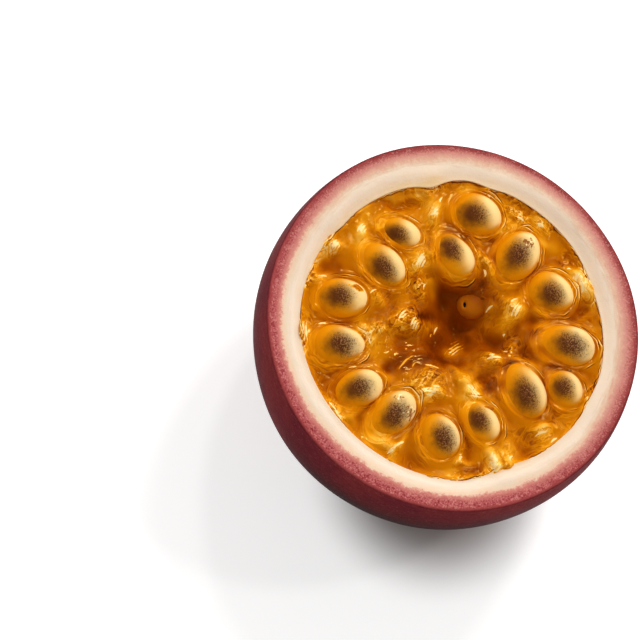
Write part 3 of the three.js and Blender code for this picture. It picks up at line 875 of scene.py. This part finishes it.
def halo_round_seeds(x, y):
    """A painted glow: a bell round every seed's outline, stronger on the side that gel covers."""
    halo = 0 * x
    for seed in SEEDS:
        along, across = local_place(x, y, seed)
        own = np.maximum((np.hypot(along, across) - 1) * (seed.length + seed.width) / 2, 0)
        covered = smooth_step(-0.2, 0.7, gel_side(x, y, seed.x, seed.y))
        halo = np.maximum(halo, bell(own / 0.9) * (0.35 + 0.65 * covered))
    return halo


def glow_from_depth(surface):
    """A curve through depth and glow, plus painted light and shade: a share of the height above its own
    blurred self.
    """
    levels, glows = zip(*GLOW_BY_DEPTH)
    relief = surface - blurred(surface, 8)
    return np.interp(CUT_Z - blurred(surface, 4), levels, glows) + 0.16 * relief


def stained_and_shaded(glow, warp_x, warp_y):
    """The glow less one bell for each stain, partly painted shade and partly painted light."""
    for stain in STAINS_AND_SHADING:
        along, across = local_place(warp_x, warp_y, stain)
        glow = glow - stain[5] * bell(np.hypot(along, across))
    return glow


# %% [markdown]
# All of that comes together in one function of x and y. It returns the height, and the named values
# that the finish reads.

# %% The pulp's surface
def pulp_surface(x, y):
    """Height of the pulp in millimetres, with values for its finish, at each point of the disc."""
    radius, angle = np.hypot(x, y), np.arctan2(y, x)
    from_wall = inner_radius(angle, PULP_DEPTH) - radius
    warp_x, warp_y = warped(x, y)
    away, around, owner, second = nearest_shape(x, y, SEEDS)
    lumps = [lump for lump in LUMPS if lump[5] > 0]
    flow, flow_turn, flow_owner, _ = nearest_shape(x, y, SEEDS + lumps)
    free = smooth_step(-0.1, 1.3, away)
    sunk = hollow_depth(warp_x, warp_y)
    raised, crumpled, bright, gleam = lump_fields(y, warp_x, warp_y)
    glint, glint_side = glint_fields(x, y)

    # Depth below the cut: a ring at the wall, hollows, waves, lumps, mounds at seeds, and creases.
    climb = 0.35 + 0.3 * value_noise(x, y, 1.0, 360)
    at_wall = 0.4 * bell(from_wall / 1.0) + climb * bell((from_wall - 0.55) / 0.3)
    mound = 0.35 * bell(np.maximum(away, 0) / 1.0)
    patchy = smooth_step(-0.1, 0.5, value_noise(x, y, 3.6, 330))
    wrinkles = 1 - np.abs(layered_noise(warp_x, warp_y, 1.5, 320, 3)) * 2.4
    fine = sac_lines(away, around, owner) + 0.12 * wrinkles * patchy * free
    fine = fine + sac_lines(from_wall, 2.2 * angle, 20.0) * smooth_step(0.2, 0.8, away)
    depth = PULP_DEPTH - at_wall + sunk * free + 0.25 * value_noise(x, y, 4.5, 311)
    depth = depth - raised * free - mound - fine
    film = film_cover(x, y)
    surface = gel_on_seeds(x, y, CUT_Z - np.maximum(depth, -0.2))
    surface = surface + film * (0.16 + 0.05 * layered_noise(x, y, 0.5, 350, 2))

    # Glow: depth first, then lumps, seeds, a painted shade line at a dry side, painted shade in narrow
    # gaps, and stains.
    seed_places = np.array([seed[:2] for seed in SEEDS])[owner.astype(int)]
    dry = 1 - smooth_step(-0.5, 0.6, gel_side(x, y, seed_places[..., 0], seed_places[..., 1]))
    halo = halo_round_seeds(x, y)
    # Painted shade: a dark line in the crevice at a seed's dry side, and darker gel in narrow gaps.
    crevice_shade = bell((away - 0.06) / 0.13) * dry
    gap_shade = bell((second - away) / 1.6) * bell(np.maximum(second, 0) / 1.5)
    glow = glow_from_depth(surface) + 0.30 * bright * free + 0.06 * halo - 0.20 * crevice_shade - 0.26 * gap_shade
    glow = stained_and_shaded(glow, warp_x, warp_y)
    glow = np.minimum(glow, BRIGHT_GLOW + 0.3 * (glow - BRIGHT_GLOW))
    glow = glow - 0.34 * film + film * (1 - film)

    # Painted sparks beside dry seed sides, along the wall, on crumpled lumps and on films.
    beside_seed = bell((away - 0.7) / 0.45) * dry * smooth_step(-0.2, 0.5, value_noise(x, y, 2.2, 340))
    beside_wall = bell((from_wall - 0.5) / 0.6) * smooth_step(0.0, 0.6, value_noise(x, y, 2.6, 345))
    gleam = np.maximum(gleam * free, np.maximum(0.55 * beside_seed, 0.5 * beside_wall))
    calm = 1 - smooth_step(0.8, 3.0, sunk)
    crumpled = np.maximum(np.maximum(crumpled, 0.35 * film), 1.2 * beside_wall)
    values = {
        "glow": np.clip(glow, 0, 1),
        "away": away,
        "from_wall": from_wall,
        "crumpled": np.clip(crumpled + 0.1 * patchy, 0, 1) * calm,
        "dry": dry,
        "deep": smooth_step(0.8, 4.0, sunk),
        "lit": halo * (1 - dry),
        "gleam": np.maximum(gleam, 0.3 * film),
        "glint": glint,
        "glint_side": glint_side,
        "round_x": np.cos(around) + owner * 3.0,
        "round_y": np.sin(around),
        "flow": flow,
        "flow_x": np.cos(flow_turn) + flow_owner * 3.0,
        "flow_y": np.sin(flow_turn),
    }
    return surface, values


# %% [markdown]
# The surface is sampled on a square grid pressed into a disc, which has no crowded pole in the
# middle as rings would. Rings then carry its edge down inside the wall to one point, so that the
# pulp is a closed body.

# %% The pulp's body
PULP_SIDE = 300
EDGE_OVERLAP = 0.1
SKIRT_DEPTHS = (4.0, 9.0, 15.0, 20.0, 24.0)
SKIRT_INSET = 0.985
POLE_DEPTH = 26.2
HIDDEN_VALUE = 0.3


def disc_points(side):
    """A square grid pressed to a round disc of radius 1: x = u sqrt(1 - v v / 2), and y alike."""
    u, v = np.meshgrid(np.linspace(-1, 1, side), np.linspace(-1, 1, side), indexing="ij")
    return u * np.sqrt(1 - v * v / 2), v * np.sqrt(1 - u * u / 2)


def build_pulp():
    """The top surface, and rings that carry its edge down inside the wall to a pole."""
    u, v = disc_points(PULP_SIDE)
    angle = np.arctan2(v, u)
    radius = (inner_radius(angle, PULP_DEPTH) + EDGE_OVERLAP) * np.hypot(u, v)
    x, y = radius * np.cos(angle), radius * np.sin(angle)
    z, values = pulp_surface(x, y)
    top = np.stack([x, y, z], axis=-1).reshape(-1, 3)
    number = np.arange(PULP_SIDE ** 2).reshape(PULP_SIDE, PULP_SIDE)
    edge = np.concatenate([number[:-1, 0], number[-1, :-1], number[:0:-1, -1], number[0, :0:-1]])
    edge_angle = np.arctan2(top[edge, 1], top[edge, 0])
    depth = np.array(SKIRT_DEPTHS)[:, None] + 0 * edge_angle
    r = inner_radius(edge_angle, depth) * SKIRT_INSET
    under = np.stack([r * np.cos(edge_angle), r * np.sin(edge_angle), CUT_Z - depth], axis=-1)
    rings = np.vstack([edge, len(top) + np.arange(depth.size).reshape(depth.shape)])
    after = np.roll(rings, -1, 1)
    skirt = np.stack([rings[:-1], after[:-1], after[1:], rings[1:]], axis=-1).reshape(-1, 4)[:, ::-1]
    points = np.vstack([top, under.reshape(-1, 3), [[0, 0, CUT_Z - POLE_DEPTH]]])
    faces = [grid_faces(PULP_SIDE, PULP_SIDE, False)[:, ::-1], skirt,
             fan_faces(rings[-1], len(points) - 1, True)]
    hidden = np.full(depth.size + 1, HIDDEN_VALUE)
    return make_object("sac_pulp", points, faces, {
        key: np.concatenate([value.ravel(), hidden]) for key, value in values.items()})


pulp = build_pulp()

# %% [markdown]
# A ramp turns the glow into colour: deep pools are brown orange, thin lumps pale yellow. The finest
# threads of skin are thinner than the mesh's steps, so they are creases in the finish: a thin bright
# line where some noise crosses zero, partly pale skin and partly a painted highlight, and a dark line
# of painted shade close behind it. The noise runs in coordinates that follow seeds and lumps, so the
# threads do too. Glints are painted highlights, stripes along each glint's own line. Last, the body
# is mixed with a mirror-like gloss by a Fresnel factor. A clear coat would reflect white, but this
# gloss is tinted amber, and turned down in the hollow, where it sees less light.

# %% Threads and glints in the gel
THREADS = ((0.24, 0.075), (0.66, 0.08))
GLINT_STRIPES = 14.0


def tent(flow, width):
    """1 where the flow is zero, down to 0 at a width on either side."""
    return (1 - (flow / width).math("ABSOLUTE")).math("MAXIMUM", 0.0)


def crease(flow, width):
    """A thin bright line at zero, partly a painted highlight, with a dark line of painted shade close
    behind it.
    """
    return tent(flow, width) - tent(flow - width * 1.6, width * 1.1) * 1.1


def skin_noise(start, names, crosswise, lengthwise, shift, detail):
    """Noise laid along outlines: named distance times crosswise, and direction times lengthwise."""
    outwards, side_x, side_y = (start.value(name) for name in names)
    return start.noise_at(outwards * crosswise + shift, side_x * lengthwise, side_y * lengthwise, detail)


def threads(start):
    """Creases at set distances from seeds, strongest on the dry side, and one along the wall."""
    names = ("away", "round_x", "round_y")
    edges = 0.0
    for number, (distance, width) in enumerate(THREADS):
        wander = (skin_noise(start, names, 0.0, 1.2, 10.0 * number, 2.0) - 0.5) * 1.1
        strength = skin_noise(start, names, 0.0, 1.1, 10.0 * number + 5.0, 1.0).rising(0.46, 0.62)
        edges = edges + crease(start.value("away") - distance - wander, width) * strength
    rim_wander = (start.noise(500, 2.0, 0.5) - 0.5) * 1.1
    rim_line = crease(start.value("from_wall") - 0.35 - rim_wander, 0.08)
    rim_patches = start.noise(240, 1.0, 0.5).rising(0.4, 0.6)
    return edges * (0.15 + start.value("dry") * 0.85) + rim_line * rim_patches


def painted_sparks(start, grain, deep):
    """Painted highlights: grains that gleam outside the hollow, or the stripes of a glint where they are
    brighter.
    """
    glint = start.value("glint")
    sparks = (grain + start.value("gleam") * 0.2 - 0.76).rising(0.0, 0.06) * (1 - deep)
    strokes = (start.noise(2300, 1.0, 0.5, (1.0, 0.3, 1.0), 0.1) - 0.5) * 1.7
    sway = (start.noise(520, 2.0, 0.5) - 0.5) * 6.0
    stripes = (start.value("glint_side") * GLINT_STRIPES + sway).math("COSINE") * 0.34
    streaks = (glint * 0.95 + strokes + stripes).rising(0.5, 0.95) * glint.rising(0.1, 0.4)
    return sparks.math("MAXIMUM", streaks * 1.3)


# %% [markdown]
# The parts are then added up. Light scattered under the surface and a painted glow from within, on
# the covered side of the seeds, make the gel look full of juice.

# %% Finish of the pulp
def pulp_finish():
    """A soft body coloured by how thin the gel is, with painted light and shade, under a sharp wet gloss
    with wrinkles in it.
    """
    material, start = new_finish("wet_pulp")
    crumpled, deep, names = start.value("crumpled"), start.value("deep"), ("flow", "flow_x", "flow_y")
    stray = start.noise(420, 2.0, 0.5)
    patches = start.noise(300, 1.0, 0.5).rising(0.46, 0.62)
    folds = crease(skin_noise(start, names, 1.5, 1.1, stray * 3.2, 1.5) - 0.5, 0.07)
    lines = folds * (patches * 0.5).math("MAXIMUM", crumpled)
    edges = threads(start)
    crumple = crease(start.noise(1050, 2.0, 0.5, (1.0, 0.33, 1.0), 0.1) - 0.5, 0.06) * crumpled
    sparks = painted_sparks(start, skin_noise(start, names, 4.2, 2.2, stray * 4.0 + 70.0, 2.0), deep)
    fine = (lines * 0.28 + edges * 0.6 + crumple * 0.34) * (1 - deep * 0.6)
    # Painted highlights: glints and sparks lift the colour towards near white.
    thin = start.value("glow") + (stray - 0.5) * 0.10 + fine + start.value("glint") * 0.14 + sparks * 0.42
    colour = thin.ramp(
        (0.0, 62, 18, 0), (0.12, 116, 44, 0), (0.26, 156, 71, 0), (0.4, 184, 98, 0), (0.55, 206, 120, 0),
        (0.7, 230, 149, 14), (0.84, 246, 180, 60), (0.93, 252, 200, 104), (1.0, 255, 224, 156))
    waves = skin_noise(start, names, 1.4, 1.0, stray * 2.0 + 40.0, 0.0)
    bump = start.node("ShaderNodeBump", inputs={
        "Strength": 1.0, "Distance": 0.0004, "Height": waves + lines * 0.15 + edges * 0.2 + crumple * 0.15})
    # Painted glow: the gel gives off a little of its own colour, most round a seed's covered side.
    painted_glow = (start.value("lit") * 0.22 + 0.05 + sparks * 0.05).blend(BLACK, colour)
    body = start.principled(
        Base_Color=colour, Roughness=0.6, Specular_IOR_Level=0.0, Emission_Color=painted_glow,
        Emission_Strength=1.0, Subsurface_Weight=0.12, Subsurface_Radius=(1.0, 0.4, 0.06),
        Subsurface_Scale=0.0004)
    gloss = start.principled(Base_Color=(1.0, 0.7, 0.2, 1.0), Metallic=1.0, Roughness=0.12, Normal=bump)
    wet = start.node("ShaderNodeFresnel", inputs={"IOR": 1.5}) * (0.62 - deep * 0.45)
    return close_finish(material, start.node("ShaderNodeMixShader", inputs={0: wet, 1: body, 2: gloss}))


pulp.data.materials.append(pulp_finish())
belongs(pulp, "pulp", "pulp")

# %% [markdown]
# ## The seeds
# A seed is a smooth egg. It is cream where it stands out of the gel, has one brown speckled patch
# on top, and fades to orange towards the side where gel still covers it. The fade is partly that
# gel and partly painted light: the cream is palest on the dry side, which faces the lamps, and the
# covered side has a painted glow. On two seeds a torn bit of skin sticks to the coat. A scaled
# sphere could be bent by a lattice, but a formula gives the egg directly, with its poles at the
# ends, and lets the patch and the fade be stored for each point, so that one material serves all
# seeds.

# %% Shape of a seed
EGG_ROWS, EGG_COLUMNS = 60, 90
EGG_SINK = 0.02

# The middle of each seed's brown patch, in millimetres from the seed's own middle.
PATCHES = [
    (-0.49, -0.48), (0.25, -0.23), (0.03, -0.78), (-0.07, -0.71), (-0.47, -1.03),
    (-0.98, -0.16), (-0.41, -0.97), (0.24, -0.85), (-0.62, -0.75), (0.17, -0.39),
    (-0.14, -0.56), (0.32, -0.41), (0.44, -0.35), (-0.60, -0.47), (0.34, -0.92),
]

# Torn bits of skin that stick to a seed: seed, offset from its middle along x and y, and half width.
TORN_BITS = [(4, 0.05, 1.95, 0.85), (12, 1.80, 1.40, 0.85), (12, -0.60, 2.00, 0.60)]


def egg_points(egg, centre_depth):
    """An egg on a grid of polar angle and turn, its section narrowing towards the front end."""
    polar = np.linspace(0, math.pi, EGG_ROWS + 2)[1:-1, None]
    round_it = np.linspace(0, 2 * math.pi, EGG_COLUMNS, endpoint=False)[None, :]
    along = np.cos(polar) + 0 * round_it
    girth = np.sin(polar) * (1 - egg.taper * along)
    poles = np.array([1.0, -1.0])
    ex = np.concatenate([along.ravel(), poles]) * egg.length
    ey = np.concatenate([(girth * np.cos(round_it)).ravel(), 0 * poles]) * egg.width
    ez = np.concatenate([(girth * np.sin(round_it)).ravel(), 0 * poles]) * egg.width * SEED_FLATNESS
    cosine, sine = math.cos(math.radians(egg.turn)), math.sin(math.radians(egg.turn))
    x, y = egg.x + ex * cosine - ey * sine, egg.y + ex * sine + ey * cosine
    return np.stack([x, y, CUT_Z - centre_depth + ez - EGG_SINK], axis=-1)


def egg_faces():
    """The faces of such an egg, closed by a fan at each pole."""
    first, pole = np.arange(EGG_COLUMNS), EGG_ROWS * EGG_COLUMNS
    last = first + pole - EGG_COLUMNS
    return [grid_faces(EGG_ROWS, EGG_COLUMNS, True)[:, ::-1], fan_faces(first, pole, False),
            fan_faces(last, pole + 1, True)]


def build_seed(number, seed):
    """One seed with the distance from its patch's middle, and how deep it lies in gel."""
    points = egg_points(seed, SEED_CENTRE_DEPTH)
    centre, shift = np.array(seed[:2]), PATCHES[number]
    patch = np.hypot(*local_place(points[:, 0] - shift[0], points[:, 1] - shift[1], seed))
    sideways = (points[:, :2] - centre) @ GEL_WAY / math.sqrt(seed.length * seed.width)
    drop = (CUT_Z - SEED_CENTRE_DEPTH - points[:, 2]) / (seed.width * SEED_FLATNESS)
    rim = smooth_step(-0.62, -0.25, drop) * smooth_step(-0.95, -0.55, sideways)
    torn = 0 * patch
    for owner, dx, dy, half_width in TORN_BITS:
        if owner == number + 1:
            reach = np.hypot(points[:, 0] - centre[0] - dx, points[:, 1] - centre[1] - dy)
            torn = np.maximum(torn, bell(reach / half_width))
    name = f"seed_{number + 1:02d}"
    values = {"gel": sideways + 0.45 * drop, "patch": patch, "rim": rim, "torn": torn}
    return name, make_object("ripe_" + name, points, egg_faces(), values)


seed_pieces = [build_seed(number, seed) for number, seed in enumerate(SEEDS)]

# %% [markdown]
# The brown patch is made of fine dark specks, sharp on the dry side and blurred under the gel. Two
# scales of noise shift the patch's outline, and the fade is a blend from cream to orange. A torn bit
# of skin is a few dark and pale shreds, taken from both ends of one noise.

# %% Finish of the seeds
PATCH_COLOUR, LIGHT_SPECK_COLOUR = linear(76, 33, 16), linear(212, 150, 108)
DARK_SHRED, LIGHT_SHRED = linear(132, 62, 4), linear(255, 236, 184)


def patch_strength(grain, blot, gel_over, patch):
    """How brown the coat is: haze and specks where it is bare, a soft stain under the gel."""
    edge = patch + (blot - 0.5) * 0.35
    haze, soft = 1 - edge.rising(0.15, 0.95), 1 - edge.rising(0.1, 0.8)
    specks = (grain - 0.5 + haze * 0.22 - 0.12).rising(0.0, 0.14) * haze.rising(0.0, 0.3)
    brown = (1 - gel_over) * (haze * 0.56 + specks * 0.34) + gel_over * soft * 0.8
    return 1 - (1 - brown) ** 2.0, haze, specks


def with_shreds(start, colour):
    """The coat's colour with dark and pale shreds where torn skin sticks to it."""
    torn = start.value("torn")
    shreds = start.noise(2600, 2.0, 0.6, (1.0, 0.45, 1.0), 0.6)
    where = torn.rising(0.1, 0.35)
    dark = (shreds + torn * 0.22 - 0.66).rising(0.0, 0.04) * where
    light = (1 - (shreds - torn * 0.04).rising(0.33, 0.38)) * where
    return light.blend((dark * 0.9).blend(colour, DARK_SHRED), LIGHT_SHRED)


def seed_finish():
    """Cream with a speckled brown patch, turning to orange where gel covers it, with painted light and
    glow.
    """
    material, start = new_finish("seed_coat")
    gel = start.value("gel")
    grain, blot = start.noise(7600, 2.0, 0.6, (1.0, 0.55, 1.0), 0.9), start.noise(1100, 3.0, 0.6)
    # Partly gel and partly painted light: the coat is palest cream on its dry side, towards the lamps.
    covered = (gel + start.value("rim") * 0.55 + (blot - 0.5) * 0.2).rising(-0.95, 0.25)
    body = covered.ramp((0.0, 252, 214, 142), (0.2, 238, 184, 98), (0.45, 222, 152, 50),
                        (0.7, 214, 138, 14), (1.0, 206, 124, 0))
    gel_over = gel.rising(-0.5, 0.2)
    brown, haze, specks = patch_strength(grain, blot, gel_over, start.value("patch"))
    light_specks = (1 - grain.rising(0.38, 0.5)) * haze * (1 - gel_over)
    colour = (light_specks * 0.2).blend(brown.blend(body, PATCH_COLOUR), LIGHT_SPECK_COLOUR)
    # Painted glow: the covered side gives off a little of its own colour where it is not brown.
    painted_glow = (covered.rising(0.3, 1.0) * (1 - brown) * 0.28 + 0.02).blend(BLACK, body)
    bump = start.node("ShaderNodeBump", inputs={
        "Strength": 0.3, "Distance": 0.0001, "Height": grain * specks})
    return close_finish(material, start.principled(
        Base_Color=with_shreds(start, colour), Roughness=0.5, Normal=bump, Specular_IOR_Level=0.03,
        Subsurface_Weight=0.1, Subsurface_Radius=(1.0, 0.5, 0.2), Subsurface_Scale=0.0004,
        Emission_Color=painted_glow, Emission_Strength=1.0))


seed_coat = seed_finish()
for node_name, piece in seed_pieces:
    piece.data.materials.append(seed_coat)
    belongs(piece, "seed", node_name)

# %% [markdown]
# ## The sac in the hollow
# One small closed sac without a ripe seed hangs on the hollow's wall. It is deep orange, paler on
# one side with painted light and darker on the other with painted shade, with a short dark slit.
# The slit could be a Boolean cut, but it is shallow, so the egg's points are simply pressed down
# along a short line.

# %% The sac in the hollow
SLIT_DEPTH = 0.3


def build_hollow_sac():
    """An egg with a groove: a bell along times a bell across a short line, on its top only."""
    points = egg_points(HOLLOW_SAC, HOLLOW_SAC_DEPTH)
    along, across = local_place(points[:, 0], points[:, 1], SLIT)
    top = smooth_step(-0.2, 0.5, (points[:, 2] - CUT_Z + HOLLOW_SAC_DEPTH) / HOLLOW_SAC.width)
    slit = bell(along) * bell(across) * top
    points[:, 2] -= SLIT_DEPTH * slit
    # Painted light and shade: the sac is paler towards -y and darker towards +y.
    paler = 1 - smooth_step(-1.7, 0.9, points[:, 1] - HOLLOW_SAC.y)
    return make_object("small_sac", points, egg_faces(), {"slit": slit, "paler": paler})


def hollow_sac_finish():
    """Deep orange gel, with painted light on one side and painted shade on the other, and a dark slit."""
    material, start = new_finish("small_sac")
    gel = start.value("paler").blend(linear(142, 66, 2), linear(196, 110, 14))
    return close_finish(material, start.principled(
        Base_Color=start.value("slit").rising(0.35, 0.6).blend(gel, linear(18, 6, 2)),
        Roughness=0.4, Specular_IOR_Level=0.02,
        Subsurface_Weight=0.2, Subsurface_Radius=(1.0, 0.4, 0.06), Subsurface_Scale=0.0008))


hollow_sac = build_hollow_sac()
hollow_sac.data.materials.append(hollow_sac_finish())
belongs(hollow_sac, "sac", "hollow_sac")

# %% [markdown]
# ## The picture
# The half lies on a pale floor. The camera looks down into it through a long lens from far away, so
# that the rim stays nearly round, and is rolled a little, so that the peel shows at the lower left.

# %% Camera
VIEW_ELEVATION = math.radians(69.9)
VIEW_ROLL = math.radians(39.05)
VIEW_DISTANCE = 450
LENS, SENSOR = 192.5, 36
RIGHT_OF_CENTRE, BELOW_CENTRE = 17.66, 0.66

look_at = Vector((0, 0, CUT_Z))
back = Vector((0, -math.cos(VIEW_ELEVATION), math.sin(VIEW_ELEVATION)))
level = Vector((1, 0, 0))
upright = back.cross(level)
picture_right = level * math.cos(VIEW_ROLL) + upright * math.sin(VIEW_ROLL)
picture_up = upright * math.cos(VIEW_ROLL) - level * math.sin(VIEW_ROLL)


def aim(thing, place, target, up):
    """Stands a camera or lamp at a place in millimetres, its -Z axis towards the target."""
    away = (place - target).normalized()
    side = up.cross(away).normalized()
    turned = Matrix((side, away.cross(side), away)).transposed().to_4x4()
    thing.matrix_world = Matrix.Translation(place * MM) @ turned


camera = bpy.data.objects.new("camera", bpy.data.cameras.new("camera"))
bpy.context.collection.objects.link(camera)
camera.data.lens = LENS
camera.data.sensor_width = SENSOR
camera.data.clip_start, camera.data.clip_end = 0.05, 10
place = look_at + back * VIEW_DISTANCE
aim(camera, place, look_at - picture_right * RIGHT_OF_CENTRE + picture_up * BELOW_CENTRE, picture_up)
bpy.context.scene.camera = camera
print("camera at", tuple(round(c, 1) for c in place), "mm")

# %% [markdown]
# A large soft lamp and two smaller ones stand towards the upper right of the picture, so that lumps
# and seeds are bright on that side and wet edges glint. The world gives the rest of the light. It is
# darker overhead and towards the bottom of the picture, or the gloss would look milky all over.

# %% Lamps and world
def lamp(name, way, distance, size, power, colour=(1, 1, 1)):
    """A square soft lamp that looks at the half from a direction given in the picture's own axes."""
    light = bpy.data.lights.new(name, "AREA")
    light.shape, light.size, light.energy, light.color = "SQUARE", size * MM, power, colour
    stand = bpy.data.objects.new(name, light)
    bpy.context.collection.objects.link(stand)
    towards = (picture_right * way[0] + picture_up * way[1] + back * way[2]).normalized()
    aim(stand, look_at + towards * distance, look_at, back)


lamp("key", (0.56, 0.86, 0.62), 450, 90, 0.85, (1.0, 0.97, 0.94))
lamp("glint_right", (0.80, 0.30, 0.75), 420, 34, 0.22)
lamp("glint_top", (0.25, 0.88, 0.72), 420, 34, 0.22)

world = bpy.data.worlds.new("studio")
world.use_nodes = True
world.node_tree.nodes.clear()
sky = Flow(world.node_tree)
way = sky.node("ShaderNodeTexCoord")
overhead = sky.node("ShaderNodeSeparateXYZ", inputs={0: way}, output=2)
towards_top = sky.node("ShaderNodeVectorMath", {"operation": "DOT_PRODUCT"}, {
    0: way, 1: (picture_up.x, picture_up.y, 0.0)}, 1)
brightness = (1.15 - overhead.rising(0.35, 0.85)) * (0.62 + towards_top.rising(-0.8, 0.6) * 0.5)
sky.node("ShaderNodeOutputWorld", inputs={"Surface": sky.node("ShaderNodeBackground", inputs={
    "Color": WHITE, "Strength": brightness})})
bpy.context.scene.world = world
bpy.context.scene.view_settings.view_transform = "Standard"
print(len(bpy.data.lights), "lamps")

# %% [markdown]
# A pale floor throws light back up at the peel. A bit of glow lifts it to the white of a studio
# sweep, but not near the foot, where a painted shadow makes it darker and warmer.

# %% Floor
FLOOR_HALF = 1500.0
FOOT_SHADOW = (0.011, -0.008, 0.0)
SHADOW_REACH, GLOW_REACH = (0.003, 0.020), (0.008, 0.019)
PAINTED_SHADOW_COLOUR, FLOOR_COLOUR = (0.34, 0.27, 0.25, 1.0), (0.86, 0.85, 0.84, 1.0)

floor_points = np.array([[-1, -1, 0], [1, -1, 0], [1, 1, 0], [-1, 1, 0]]) * FLOOR_HALF
floor = make_object("floor", floor_points, [np.array([[0, 1, 2, 3]])])
floor_material, floor_start = new_finish("floor")
# Painted shadow: near the foot the floor is darker and warmer, and gives off no glow.
from_foot = floor_start.node("ShaderNodeVectorMath", {"operation": "DISTANCE"}, {
    0: floor_start.node("ShaderNodeTexCoord", output=3), 1: FOOT_SHADOW}, 1)
close_finish(floor_material, floor_start.principled(
    Base_Color=from_foot.rising(*SHADOW_REACH).blend(PAINTED_SHADOW_COLOUR, FLOOR_COLOUR), Roughness=0.8,
    Emission_Color=from_foot.rising(*GLOW_REACH).blend(BLACK, WHITE), Emission_Strength=0.55))
floor.data.materials.append(floor_material)
